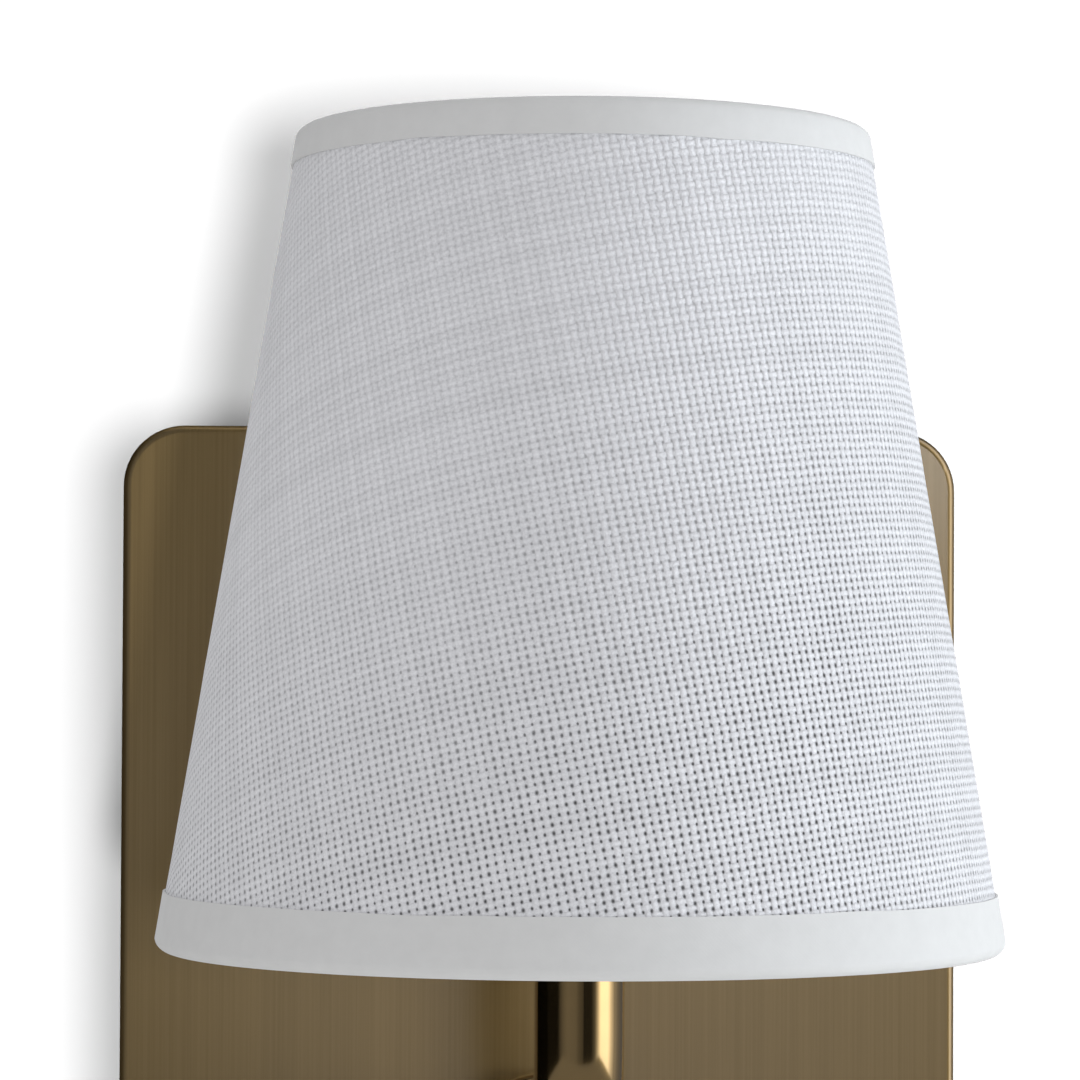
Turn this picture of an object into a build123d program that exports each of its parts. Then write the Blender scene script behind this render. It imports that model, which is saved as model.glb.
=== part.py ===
from build123d import *
from math import acos, atan2, cos, hypot, pi, radians, sin
import os

# A wall light: a brushed brass backplate with a bent tube arm, a screw lampholder,
# a candle bulb and a round tapered cloth shade that lifts off.
# Millimetres. +X is the viewer's right, -Y points out into the room and +Z is up.
# The wall is the plane Y = 0, and the origin is midway between the two wall screws.

# ---- Clearances ----
lay_gap = 0.05            # between pieces that are glued, pressed or screwed together
lift_gap = 0.3            # between pieces that come apart
loose_gap = 0.1           # radial, round a thread in a plain hole or a wire in its fold

# ---- Backplate: a shallow pressed dish, open towards the wall ----
plate_width = 165.0
plate_height = 180.0
plate_depth = 22.0
plate_wall = 1.2
plate_corner_radius = 12.0
plate_edge_radius = 1.5

# ---- Shade, over its trims ----
shade_bottom_diameter = 150.0
shade_top_diameter = 102.0
shade_height = 145.0
shade_standoff = 85.0     # from the backplate's front to the shade's axis
plate_rise = 97.0         # the backplate's top edge above the shade's bottom edge
cover_thickness = 0.7
liner_thickness = 0.4
trim_thickness = 0.4
bottom_trim_width = 10.0
top_trim_width = 7.0
trim_turn_in = 7.5        # how far each trim runs up inside the shade
trim_rest = 4.5           # where its inner leg meets the lining
ring_wire_diameter = 2.5

# ---- Carrier of the shade ----
spider_wire_diameter = 2.5
spider_count = 3
spider_turn = 90.0        # the first one points at the wall
spider_flat = 5.0         # level stretch of a spider wire beside the carrier ring
spider_bend_radius = 7.0
carrier_diameter = 54.0
carrier_thickness = 1.6

# ---- Arm ----
arm_diameter = 16.0
arm_wall = 1.2
arm_bend_radius = 30.0
arm_drop = 45.0           # the level run's centre line below the shade's bottom edge
arm_top_rise = 2.0        # the tube's upper end above the shade's bottom edge
collar_diameter = 30.0
collar_thickness = 6.0
collar_recess = 3.0
collar_edge_radius = 2.0

# ---- Threaded tubes that hold the arm and the lampholder ----
nipple_diameter = 10.0
nipple_bore = 7.5
nipple_grip = 8.0         # length screwed into each bush
nipple_spare = 2.0        # thread left over behind the nut
bush_length = 12.0
nut_across_flats = 14.0
nut_thickness = 3.5
nut_chamfer = 0.5
washer_diameter = 19.0
washer_thickness = 1.0
washer_notch_diameter = 2.0
washer_notch_count = 12

# ---- Lampholder, heights above the arm's upper end ----
holder_neck_diameter = 17.0
holder_neck_height = 6.0
holder_cap_diameter = 40.0
holder_cap_height = 22.0
holder_cap_wall = 2.0
holder_shoulder_radius = 11.0
flange_diameter = 46.0
flange_thickness = 3.0
flange_edge_radius = 0.75
skirt_diameter = 39.6
skirt_height = 31.0       # above the flange
skirt_bore = 35.0
skirt_lip_bore = 29.0
skirt_lip = 2.0
skirt_edge_radius = 0.65
insert_drop = 7.0         # the insert's underside below the flange's underside
insert_floor = 11.0
shell_bore = 27.2
shell_wall = 0.4
shell_height = 24.0
terminal_offset = 8.5     # of the two lead holes from the axis
terminal_hole_diameter = 3.2
terminal_hole_depth = 7.0
tongue_margin = 5.6       # from the screw shell's wall to its fixed end
tongue_tip = 4.0          # its free end beyond the axis
tongue_crest = 2.0        # level stretch under the bulb's contact
tongue_width = 6.0
tongue_thickness = 0.5
tongue_rise = 2.6
tongue_foot = 5.3         # flat stretch under its fixing
holder_screw_diameter = 3.0

# ---- Screw ring that clamps the shade ----
clamp_ring_height = 9.0
clamp_ring_diameter = 52.0
clamp_grip_count = 16
clamp_grip_diameter = 4.0
clamp_grip_depth = 0.9
clamp_edge_radius = 0.9

# ---- Bulb ----
bulb_diameter = 35.0
bulb_belly_height = 23.0
bulb_shoulder_height = 46.0
bulb_shoulder_diameter = 24.0
bulb_glass_height = 70.0
bulb_glass_wall = 0.9
bulb_neck_height = 3.0
bulb_cap_wall = 0.5
bulb_cap_height = 24.0
bulb_cap_overlap = 2.0    # of the cap's rim over the glass
bulb_insulator_height = 3.6
bulb_contact_diameter = 9.5
bulb_contact_height = 1.6
bulb_stem_height = 20.0
bulb_stem_waist = 5.0
filament_count = 4
filament_turn = 45.0      # of the first one
filament_diameter = 1.8
filament_length = 32.0
filament_foot_radius = 6.0
filament_head_radius = 3.5
filament_disc_thickness = 0.6
filament_disc_margin = 1.4
mount_rod_diameter = 2.0

# ---- Wall bracket ----
bracket_width = 20.0
bracket_thickness = 1.5
bracket_disc_diameter = 54.0
bracket_ear_length = 15.0
bracket_ear_corner = 4.0
bracket_bend_radius = 1.0
cable_hole_diameter = 20.0
wall_slot_spacing = 70.0
wall_slot_length = 12.0
wall_slot_width = 5.0
cover_screw_setback = 9.0 # of the rim screws from the wall

# ---- Small screws ----
screw_diameter = 4.0
screw_hole_diameter = 4.4
screw_head_diameter = 8.0
screw_head_height = 2.4
screw_slot_width = 1.0
screw_dome_radius = 6.4   # of a rim screw's head
screw_brim_height = 0.6   # of the head's upright edge
fine_slot_width = 0.5     # in the small clamping screws
cover_screw_length = 9.0
screw_tip_gap = 0.2       # between a screw's tip and the wall

# ---- Terminal block ----
pole_count = 3
pole_pitch = 10.0
pole_width = 7.0
pole_corner_radius = 1.4
pole_taper = 4.0          # degrees
block_length = 18.0
block_height = 14.0
block_web_height = 4.0
block_axis_height = 6.0   # of the wire holes above the bracket
block_slot_distance = 5.0 # from the upper wall slot
block_screw_diameter = 2.6
block_screw_head_diameter = 4.4
block_screw_head_height = 1.6
sleeve_diameter = 4.6
sleeve_bore = 2.9
sleeve_length = 14.0
clamp_screw_diameter = 2.6
clamp_screw_spacing = 8.0
clamp_screw_sink = 1.0

# ---- Leads ----
lead_diameter = 2.2
lead_entry = 5.0          # how far a lead reaches into its clamp
lead_pitch = 3.4          # between the two leads inside the arm
lead_turn_radius = 5.0    # where they turn into the arm
lead_exit_run = 1.5
lead_spread_radius = 3.0  # where they part under the lampholder's core
lead_sweep_radius = 14.0  # in the open part of the backplate
lead_drops = (6.0, 9.0)   # straight out of the block, live and neutral
lead_gather = 20.0        # above the arm, where they come together
earth_drop = 5.0
earth_turn_radius = 10.0
earth_tag_diameter = 8.5
earth_tag_thickness = 0.8
earth_barrel_diameter = 3.6
earth_barrel_length = 7.0
earth_screw_offset = 18.0 # from the bracket's middle
earth_edge_radius = 0.6
screw_cross_length = 4.8  # of the second slot in the earth screw

# ---- Places worked out from the sizes ----
shade_axis_y = -(plate_depth + shade_standoff)
shade_bottom_z = plate_height / 2 - plate_rise
arm_z = shade_bottom_z - arm_drop
arm_top_z = shade_bottom_z + arm_top_rise
tube_bore = arm_diameter / 2 - arm_wall
tube_start = collar_thickness - collar_recess
thread_hole = nipple_diameter / 2 + lay_gap
passage = nipple_diameter / 2 + loose_gap
plate_inner_y = -(plate_depth - plate_wall)
nipple_tail = plate_wall + washer_thickness + nut_thickness + nipple_spare + 2 * lay_gap
flange_base_z = arm_top_z + holder_cap_height
shade_seat_z = flange_base_z + flange_thickness
skirt_top_z = shade_seat_z + skirt_height
insert_base_z = flange_base_z - insert_drop
insert_floor_z = insert_base_z + insert_floor
insert_top_z = skirt_top_z - skirt_lip - lift_gap
insert_radius = skirt_bore / 2 - lift_gap
shell_radius = shell_bore / 2 + shell_wall
carrier_base_z = shade_seat_z + lift_gap
clamp_base_z = carrier_base_z + carrier_thickness + lift_gap
carrier_bore = skirt_diameter + 4 * lift_gap
clamp_ring_bore = skirt_diameter + 2 * lift_gap
bulb_base_z = insert_floor_z + tongue_rise + tongue_thickness + lift_gap
bulb_cap_radius = shell_bore / 2 - lift_gap
bulb_cap_base_z = bulb_base_z + bulb_contact_height + bulb_insulator_height
bulb_cap_top_z = bulb_cap_base_z + bulb_cap_height
bulb_glass_base_z = bulb_cap_top_z - bulb_cap_overlap
bulb_neck_radius = bulb_cap_radius - bulb_cap_wall - lay_gap
block_z = wall_slot_spacing / 2 + wall_slot_length / 2 + block_slot_distance + block_length / 2
sleeve_y = -(bracket_thickness + lay_gap + block_axis_height)
lead_drop_y = nipple_tail - plate_depth + lead_exit_run + lead_turn_radius
bracket_half_height = plate_height / 2 - plate_wall - lift_gap

# ---- The shade's wall in section: a straight slope between two rolled edges ----
edge_roll = ring_wire_diameter / 2 + loose_gap + trim_thickness
trim_out = lay_gap + trim_thickness
liner_out = -(cover_thickness + lay_gap)
wall_inner_out = liner_out - liner_thickness
wire_out = wall_inner_out - lay_gap - ring_wire_diameter / 2
slope = atan2((shade_bottom_diameter - shade_top_diameter) / 2, shade_height - 2 * edge_roll)
wall_length = (shade_height - 2 * edge_roll * (1 - cos(slope))) / cos(slope)
wall_base_radius = shade_bottom_diameter / 2 + edge_roll * sin(slope) - trim_out * cos(slope)
wall_base_rise = edge_roll - edge_roll * cos(slope) - wire_out * sin(slope)


def wall_point(along, out):
    """Radius and height of a point of the shade's wall, from its bottom edge and the cloth's face."""
    radius = wall_base_radius - along * sin(slope) + out * cos(slope)
    height = wall_base_rise + along * cos(slope) + out * sin(slope)
    return (radius, height)


def upright_plane(height, turn=0.0):
    """Plane through the shade's axis: local X runs outwards at that turn and local Y is up."""
    angle = radians(turn)
    return Plane(
        origin=(0, shade_axis_y, height),
        x_dir=(cos(angle), sin(angle), 0),
        z_dir=(sin(angle), -cos(angle), 0),
    )


def level_plane(height):
    """Level plane centred on the shade's axis."""
    return Plane(origin=(0, shade_axis_y, height), x_dir=(1, 0, 0), z_dir=(0, 0, 1))


shade_section = upright_plane(shade_bottom_z)
shade_axis = Axis((0, shade_axis_y, 0), (0, 0, 1))
arm_section = Plane(origin=(0, -plate_depth, arm_z), x_dir=(1, 0, 0), z_dir=(0, 0, -1))
arm_axis = Axis((0, 0, arm_z), (0, 1, 0))
pieces = []


def finish(builder, name):
    """Names a finished piece and keeps it for export."""
    builder.part.label = name
    pieces.append(builder.part)


# ==== Wall bracket ====
with BuildPart() as wall_bracket:
    with BuildSketch(Plane.YZ) as bent_strap:
        with Locations((-bracket_ear_length / 2, 0)):
            Rectangle(bracket_ear_length, 2 * bracket_half_height)
        fillet(bent_strap.vertices().group_by(Axis.X)[-1], bracket_bend_radius + bracket_thickness)
    extrude(amount=bracket_width / 2, both=True)
    with BuildSketch(Plane.YZ) as strap_inside:
        with Locations((-bracket_thickness - bracket_ear_length / 2, 0)):
            Rectangle(bracket_ear_length, 2 * (bracket_half_height - bracket_thickness))
        fillet(strap_inside.vertices().group_by(Axis.X)[-1], bracket_bend_radius)
    extrude(amount=bracket_width, both=True, mode=Mode.SUBTRACT)
    ear_tips = wall_bracket.edges().filter_by(Axis.Z).group_by(Axis.Y)[0]
    fillet(ear_tips, bracket_ear_corner)
    with BuildSketch(Plane.XZ):
        Circle(bracket_disc_diameter / 2)
    extrude(amount=bracket_thickness)
    with BuildSketch(Plane.XZ):
        Circle(cable_hole_diameter / 2)
        with GridLocations(0, wall_slot_spacing, 1, 2):
            SlotOverall(wall_slot_length, wall_slot_width, rotation=90)
        with Locations((earth_screw_offset, 0)):
            Circle(screw_diameter / 2 + lay_gap)
        with Locations((pole_pitch / 2, block_z)):
            Circle(block_screw_diameter / 2 + lay_gap)
    extrude(amount=bracket_thickness, mode=Mode.SUBTRACT)
    with BuildSketch(Plane.XY):
        with Locations((0, -cover_screw_setback)):
            Circle(screw_diameter / 2 + lay_gap)
    extrude(amount=plate_height, both=True, mode=Mode.SUBTRACT)
finish(wall_bracket, "wall_bracket")

# ==== Backplate ====
with BuildPart() as backplate:
    with BuildSketch(Plane.XZ):
        RectangleRounded(plate_width, plate_height, plate_corner_radius)
    extrude(amount=plate_depth)
    fillet(backplate.faces().sort_by(Axis.Y)[0].edges(), plate_edge_radius)
    with BuildSketch(Plane.XZ):
        inner_width = plate_width - 2 * plate_wall
        inner_height = plate_height - 2 * plate_wall
        RectangleRounded(inner_width, inner_height, plate_corner_radius - plate_wall)
    extrude(amount=plate_depth - plate_wall, mode=Mode.SUBTRACT)
    with BuildSketch(Plane.XZ):
        with Locations((0, arm_z)):
            Circle(passage)
    extrude(amount=2 * plate_depth, mode=Mode.SUBTRACT)
    with BuildSketch(Plane.XY):
        with Locations((0, -cover_screw_setback)):
            Circle(screw_hole_diameter / 2)
    extrude(amount=plate_height, both=True, mode=Mode.SUBTRACT)
finish(backplate, "backplate")

# ==== Rim screws, top and bottom ====
head_seat = Plane(
    origin=(0, -cover_screw_setback, plate_height / 2 + lay_gap), x_dir=(1, 0, 0), z_dir=(0, -1, 0)
)
with BuildPart() as cover_screws:
    with BuildSketch(head_seat):
        with BuildLine():
            brim = (screw_head_diameter / 2, screw_brim_height)
            Line((0, -cover_screw_length), (0, screw_head_height))
            RadiusArc((0, screw_head_height), brim, screw_dome_radius)
            Polyline(
                brim,
                (screw_head_diameter / 2, 0),
                (screw_diameter / 2, 0),
                (screw_diameter / 2, -cover_screw_length),
                (0, -cover_screw_length),
            )
        make_face()
    revolve(axis=Axis((0, -cover_screw_setback, 0), (0, 0, 1)))
    with BuildSketch(head_seat):
        with Locations((0, screw_head_height)):
            Rectangle(screw_slot_width, screw_head_height)
    extrude(amount=screw_head_diameter, both=True, mode=Mode.SUBTRACT)
    mirror(about=Plane.XY)
finish(cover_screws, "cover_screws")

# ==== Arm: collar, bent tube, bushes, threaded tubes, washer and nut ====
with BuildPart() as arm_collar:
    with BuildSketch(arm_section) as collar_half:
        with BuildLine():
            Polyline(
                (passage, lay_gap),
                (collar_diameter / 2, lay_gap),
                (collar_diameter / 2, collar_thickness),
                (arm_diameter / 2 + lay_gap, collar_thickness),
                (arm_diameter / 2 + lay_gap, tube_start - lay_gap),
                (passage, tube_start - lay_gap),
                close=True,
            )
        make_face()
        outer_corner = collar_half.vertices().group_by(Axis.X)[-1].sort_by(Axis.Y)[-1]
        fillet(outer_corner, collar_edge_radius)
    revolve(axis=arm_axis)
finish(arm_collar, "arm_collar")

arm_start = (0, -plate_depth - tube_start, arm_z)
with BuildPart() as arm_tube:
    with BuildLine():
        arm_route = [arm_start, (0, shade_axis_y, arm_z), (0, shade_axis_y, arm_top_z)]
        FilletPolyline(*arm_route, radius=arm_bend_radius)
    with BuildSketch(Plane(origin=arm_start, z_dir=(0, -1, 0))):
        Circle(arm_diameter / 2)
        Circle(tube_bore, mode=Mode.SUBTRACT)
    sweep()
finish(arm_tube, "arm_tube")

with BuildPart() as inlet_bush:
    with BuildSketch(Plane(origin=arm_start, z_dir=(0, -1, 0))):
        Circle(tube_bore - lay_gap)
        Circle(thread_hole, mode=Mode.SUBTRACT)
    extrude(amount=bush_length)
finish(inlet_bush, "inlet_bush")

with BuildPart() as plate_nipple:
    with BuildSketch(arm_section) as nipple_half:
        with BuildLine():
            Polyline(
                (nipple_bore / 2, -nipple_tail),
                (nipple_diameter / 2, -nipple_tail),
                (nipple_diameter / 2, tube_start + nipple_grip),
                (nipple_bore / 2, tube_start + nipple_grip),
                close=True,
            )
        make_face()
        chamfer(nipple_half.vertices().group_by(Axis.X)[-1], nut_chamfer)
    revolve(axis=arm_axis)
finish(plate_nipple, "plate_nipple")

washer_plane = Plane(origin=(0, plate_inner_y + lay_gap, arm_z), x_dir=(1, 0, 0), z_dir=(0, 1, 0))
with BuildPart() as arm_washer:
    with BuildSketch(washer_plane):
        Circle(washer_diameter / 2)
        Circle(passage, mode=Mode.SUBTRACT)
        with PolarLocations(washer_diameter / 2, washer_notch_count):
            Circle(washer_notch_diameter / 2, mode=Mode.SUBTRACT)
    extrude(amount=washer_thickness)
finish(arm_washer, "arm_washer")

with BuildPart() as arm_nut:
    with BuildSketch(washer_plane.offset(washer_thickness + lay_gap)):
        RegularPolygon(nut_across_flats / 2, 6, major_radius=False)
    extrude(amount=nut_thickness)
    chamfer(arm_nut.faces().sort_by(Axis.Y)[-1].edges(), nut_chamfer)
    with BuildSketch(washer_plane):
        Circle(thread_hole)
    extrude(amount=2 * nut_thickness, mode=Mode.SUBTRACT)
finish(arm_nut, "arm_nut")

with BuildPart() as outlet_bush:
    with BuildSketch(level_plane(arm_top_z)):
        Circle(tube_bore - lay_gap)
        Circle(thread_hole, mode=Mode.SUBTRACT)
    extrude(amount=-bush_length)
finish(outlet_bush, "outlet_bush")

with BuildPart() as holder_nipple:
    with BuildSketch(upright_plane(arm_top_z)) as holder_nipple_half:
        with BuildLine():
            nipple_top = holder_neck_height + nipple_spare
            Polyline(
                (nipple_bore / 2, -nipple_grip),
                (nipple_diameter / 2, -nipple_grip),
                (nipple_diameter / 2, nipple_top),
                (nipple_bore / 2, nipple_top),
                close=True,
            )
        make_face()
        chamfer(holder_nipple_half.vertices().group_by(Axis.X)[-1], nut_chamfer)
    revolve(axis=shade_axis)
finish(holder_nipple, "holder_nipple")

# ==== Lampholder: domed cap, threaded skirt, core, screw shell and contact ====
with BuildPart() as holder_cap:
    with BuildSketch(upright_plane(arm_top_z)) as cap_half:
        cap_radius = holder_cap_diameter / 2
        cap_floor = holder_neck_height + holder_cap_wall
        cap_top = holder_cap_height - lay_gap
        with BuildLine():
            Polyline(
                (thread_hole, lay_gap),
                (holder_neck_diameter / 2, lay_gap),
                (holder_neck_diameter / 2, holder_neck_height),
                (cap_radius, holder_neck_height),
                (cap_radius, cap_top),
                (cap_radius - holder_cap_wall, cap_top),
                (cap_radius - holder_cap_wall, cap_floor),
                (thread_hole, cap_floor),
                close=True,
            )
        make_face()
        outer_shoulder = cap_half.vertices().sort_by_distance((cap_radius, holder_neck_height))[0]
        fillet(outer_shoulder, holder_shoulder_radius)
        inner_shoulder = cap_half.vertices().sort_by_distance((cap_radius - holder_cap_wall, cap_floor))[0]
        fillet(inner_shoulder, holder_shoulder_radius - holder_cap_wall)
    revolve(axis=shade_axis)
finish(holder_cap, "holder_cap")

with BuildPart() as holder_skirt:
    with BuildSketch(upright_plane(flange_base_z)) as skirt_half:
        skirt_top = flange_thickness + skirt_height
        with BuildLine():
            Polyline(
                (skirt_bore / 2, 0),
                (flange_diameter / 2, 0),
                (flange_diameter / 2, flange_thickness),
                (skirt_diameter / 2, flange_thickness),
                (skirt_diameter / 2, skirt_top),
                (skirt_lip_bore / 2, skirt_top),
                (skirt_lip_bore / 2, skirt_top - skirt_lip),
                (skirt_bore / 2, skirt_top - skirt_lip),
                close=True,
            )
        make_face()
        fillet(skirt_half.vertices().group_by(Axis.X)[-1], flange_edge_radius)
        fillet(skirt_half.vertices().group_by(Axis.Y)[-1], skirt_edge_radius)
    revolve(axis=shade_axis)
finish(holder_skirt, "holder_skirt")

terminal_screw_z = insert_base_z + terminal_hole_depth / 2
terminal_axis_plane = Plane(origin=(0, shade_axis_y, terminal_screw_z), x_dir=(0, 1, 0), z_dir=(1, 0, 0))
with BuildPart() as holder_insert:
    with BuildSketch(level_plane(insert_base_z)):
        Circle(insert_radius)
    extrude(amount=insert_top_z - insert_base_z)
    with BuildSketch(level_plane(insert_floor_z)):
        Circle(shell_radius + lay_gap)
    extrude(amount=insert_top_z - insert_floor_z, mode=Mode.SUBTRACT)
    with BuildSketch(level_plane(insert_base_z)):
        with PolarLocations(terminal_offset, 2):
            Circle(terminal_hole_diameter / 2)
    extrude(amount=terminal_hole_depth, mode=Mode.SUBTRACT)
    for side in (-1, 1):
        with BuildSketch(terminal_axis_plane.offset(side * terminal_offset)):
            Circle(holder_screw_diameter / 2 + lay_gap)
        extrude(amount=side * insert_radius, mode=Mode.SUBTRACT)
finish(holder_insert, "holder_insert")

screw_reach = terminal_offset + lead_diameter / 2 + loose_gap
with BuildPart() as holder_terminals:
    with BuildSketch(terminal_axis_plane.offset(screw_reach)):
        Circle(holder_screw_diameter / 2)
    extrude(amount=insert_radius - screw_reach)
    with BuildSketch(terminal_axis_plane.offset(insert_radius)):
        Rectangle(holder_screw_diameter, fine_slot_width)
    extrude(amount=-screw_slot_width, mode=Mode.SUBTRACT)
    mirror(about=Plane.YZ)
finish(holder_terminals, "holder_terminals")

with BuildPart() as screw_shell:
    with BuildSketch(level_plane(insert_floor_z + lay_gap)):
        Circle(shell_radius)
        Circle(shell_bore / 2, mode=Mode.SUBTRACT)
    extrude(amount=shell_height)
finish(screw_shell, "screw_shell")

with BuildPart() as centre_contact:
    with BuildSketch(upright_plane(insert_floor_z + lay_gap)):
        with BuildLine():
            tongue_half = shell_bore / 2 - tongue_margin
            tongue_top = tongue_rise + tongue_thickness - lay_gap
            Polyline(
                (-tongue_half, 0),
                (tongue_foot - tongue_half, 0),
                (tongue_tip - tongue_crest, tongue_top - tongue_thickness),
                (tongue_tip, tongue_top - tongue_thickness),
                (tongue_tip, tongue_top),
                (tongue_tip - tongue_crest - tongue_thickness, tongue_top),
                (tongue_foot - tongue_half - tongue_thickness, tongue_thickness),
                (-tongue_half, tongue_thickness),
                close=True,
            )
        make_face()
    extrude(amount=tongue_width / 2, both=True)
finish(centre_contact, "centre_contact")

# ==== Shade: cloth, lining, ring wires and folded trims ====


def wall_band(inner, outer, bottom, top):
    """Corners of one layer of the shade's wall."""
    return [
        wall_point(bottom, outer),
        wall_point(top, outer),
        wall_point(top, inner),
        wall_point(bottom, inner),
    ]


with BuildPart() as shade_cover:
    with BuildSketch(shade_section):
        with BuildLine():
            layer = wall_band(-cover_thickness, 0, edge_roll, wall_length - edge_roll)
            Polyline(*layer, close=True)
        make_face()
    revolve(axis=shade_axis)
finish(shade_cover, "shade_cover")

with BuildPart() as shade_liner:
    with BuildSketch(shade_section):
        with BuildLine():
            layer = wall_band(wall_inner_out, liner_out, edge_roll, wall_length - edge_roll)
            Polyline(*layer, close=True)
        make_face()
    revolve(axis=shade_axis)
finish(shade_liner, "shade_liner")


def trim_side(depth, edge, inward, width):
    """Points of a trim's folded face: outer leg, round the ring wire, inner leg on the lining."""
    roll = edge_roll - depth
    reach = trim_out - depth - wire_out
    foot_out = wall_inner_out - lay_gap - trim_thickness + depth
    foot_away = trim_rest - edge_roll
    foot_rise = foot_out - wire_out
    tangent = atan2(foot_rise, foot_away) - acos(roll / hypot(foot_away, foot_rise))

    def place(away, out):
        return wall_point(edge + inward * away, out)

    return {
        "hem": place(width, trim_out - depth),
        "knee": place(edge_roll, trim_out - depth),
        "turn": place(edge_roll - roll * cos(pi / 4), wire_out + reach * sin(pi / 4)),
        "fold": place(depth, wire_out),
        "wrap": place(edge_roll, wire_out - roll),
        "leave": place(edge_roll + roll * cos(tangent), wire_out + roll * sin(tangent)),
        "foot": place(trim_rest, foot_out),
        "end": place(trim_turn_in, foot_out),
    }


def trim_outline(edge, inward, width):
    """Closed outline of a folded trim in the shade's section."""
    face = trim_side(0, edge, inward, width)
    back = trim_side(trim_thickness, edge, inward, width)
    with BuildLine() as outline:
        for side in (face, back):
            Line(side["hem"], side["knee"])
            ThreePointArc(side["knee"], side["turn"], side["fold"])
            ThreePointArc(side["fold"], side["wrap"], side["leave"])
            Polyline(side["leave"], side["foot"], side["end"])
        Line(face["hem"], back["hem"])
        Line(face["end"], back["end"])
    return outline.line


with BuildPart() as bottom_trim:
    with BuildSketch(shade_section):
        with BuildLine():
            add(trim_outline(0, 1, bottom_trim_width))
        make_face()
    revolve(axis=shade_axis)
finish(bottom_trim, "bottom_trim")

with BuildPart() as top_trim:
    with BuildSketch(shade_section):
        with BuildLine():
            add(trim_outline(wall_length, -1, top_trim_width))
        make_face()
    revolve(axis=shade_axis)
finish(top_trim, "top_trim")

bottom_wire_place = wall_point(edge_roll, wire_out)
with BuildPart() as bottom_ring_wire:
    with BuildSketch(shade_section):
        with Locations(bottom_wire_place):
            Circle(ring_wire_diameter / 2)
    revolve(axis=shade_axis)
finish(bottom_ring_wire, "bottom_ring_wire")

with BuildPart() as top_ring_wire:
    with BuildSketch(shade_section):
        with Locations(wall_point(wall_length - edge_roll, wire_out)):
            Circle(ring_wire_diameter / 2)
    revolve(axis=shade_axis)
finish(top_ring_wire, "top_ring_wire")

# ==== Carrier ring, spider wires and clamping ring ====
with BuildPart() as carrier_ring:
    with BuildSketch(level_plane(carrier_base_z)):
        Circle(carrier_diameter / 2)
        Circle(carrier_bore / 2, mode=Mode.SUBTRACT)
    extrude(amount=carrier_thickness)
finish(carrier_ring, "carrier_ring")

spider_rise = carrier_base_z + carrier_thickness / 2 - shade_bottom_z
spider_start = (carrier_diameter / 2 + lay_gap, spider_rise)
spider_knee = (carrier_diameter / 2 + spider_flat, spider_rise)
spider_fall = atan2(spider_rise - bottom_wire_place[1], bottom_wire_place[0] - spider_knee[0])
spider_stop = edge_roll + loose_gap
spider_end = (
    bottom_wire_place[0] - spider_stop * cos(spider_fall),
    bottom_wire_place[1] + spider_stop * sin(spider_fall),
)
with BuildPart() as spider_arms:
    for index in range(spider_count):
        arm_plane = upright_plane(shade_bottom_z, spider_turn + index * 360 / spider_count)
        with BuildLine(arm_plane) as wire_route:
            FilletPolyline(spider_start, spider_knee, spider_end, radius=spider_bend_radius)
        with BuildSketch(Plane(origin=wire_route.line @ 0, z_dir=wire_route.line % 0)):
            Circle(spider_wire_diameter / 2)
        sweep(path=wire_route.line)
finish(spider_arms, "spider_arms")

with BuildPart() as shade_ring:
    with BuildSketch(level_plane(clamp_base_z)):
        Circle(clamp_ring_diameter / 2)
    extrude(amount=clamp_ring_height)
    fillet(shade_ring.faces().sort_by(Axis.Z)[-1].edges(), clamp_edge_radius)
    with BuildSketch(level_plane(clamp_base_z)):
        Circle(clamp_ring_bore / 2)
        grip_centre = clamp_ring_diameter / 2 + clamp_grip_diameter / 2 - clamp_grip_depth
        with PolarLocations(grip_centre, clamp_grip_count):
            Circle(clamp_grip_diameter / 2)
    extrude(amount=clamp_ring_height, mode=Mode.SUBTRACT)
finish(shade_ring, "shade_ring")

# ==== Bulb ====
with BuildPart() as bulb_contact:
    with BuildSketch(level_plane(bulb_base_z)):
        Circle(bulb_contact_diameter / 2)
    extrude(amount=bulb_contact_height - lay_gap)
    fillet(bulb_contact.faces().sort_by(Axis.Z)[0].edges(), bulb_contact_height / 2)
finish(bulb_contact, "bulb_contact")

with BuildPart() as bulb_insulator:
    with BuildSketch(upright_plane(bulb_base_z + bulb_contact_height)):
        with BuildLine():
            Polyline(
                (0, 0),
                (bulb_contact_diameter / 2 + lift_gap, 0),
                (bulb_cap_radius - bulb_cap_wall, bulb_insulator_height - lay_gap),
                (0, bulb_insulator_height - lay_gap),
                close=True,
            )
        make_face()
    revolve(axis=shade_axis)
finish(bulb_insulator, "bulb_insulator")

with BuildPart() as bulb_cap:
    with BuildSketch(level_plane(bulb_cap_base_z)):
        Circle(bulb_cap_radius)
        Circle(bulb_cap_radius - bulb_cap_wall, mode=Mode.SUBTRACT)
    extrude(amount=bulb_cap_height)
finish(bulb_cap, "bulb_cap")


def glass_curve(inset):
    """Candle outline of the glass, from its neck over the belly to the tip."""
    neck = bulb_neck_radius - inset
    with BuildLine() as curve:
        Line((neck, 0), (neck, bulb_neck_height))
        Spline(
            (neck, bulb_neck_height),
            (bulb_diameter / 2 - inset, bulb_belly_height),
            (bulb_shoulder_diameter / 2 - inset, bulb_shoulder_height),
            (0, bulb_glass_height - inset),
            tangents=((0, 1), (-1, 0)),
            tangent_scalars=(1, 0.5),
        )
    return curve.line


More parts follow.
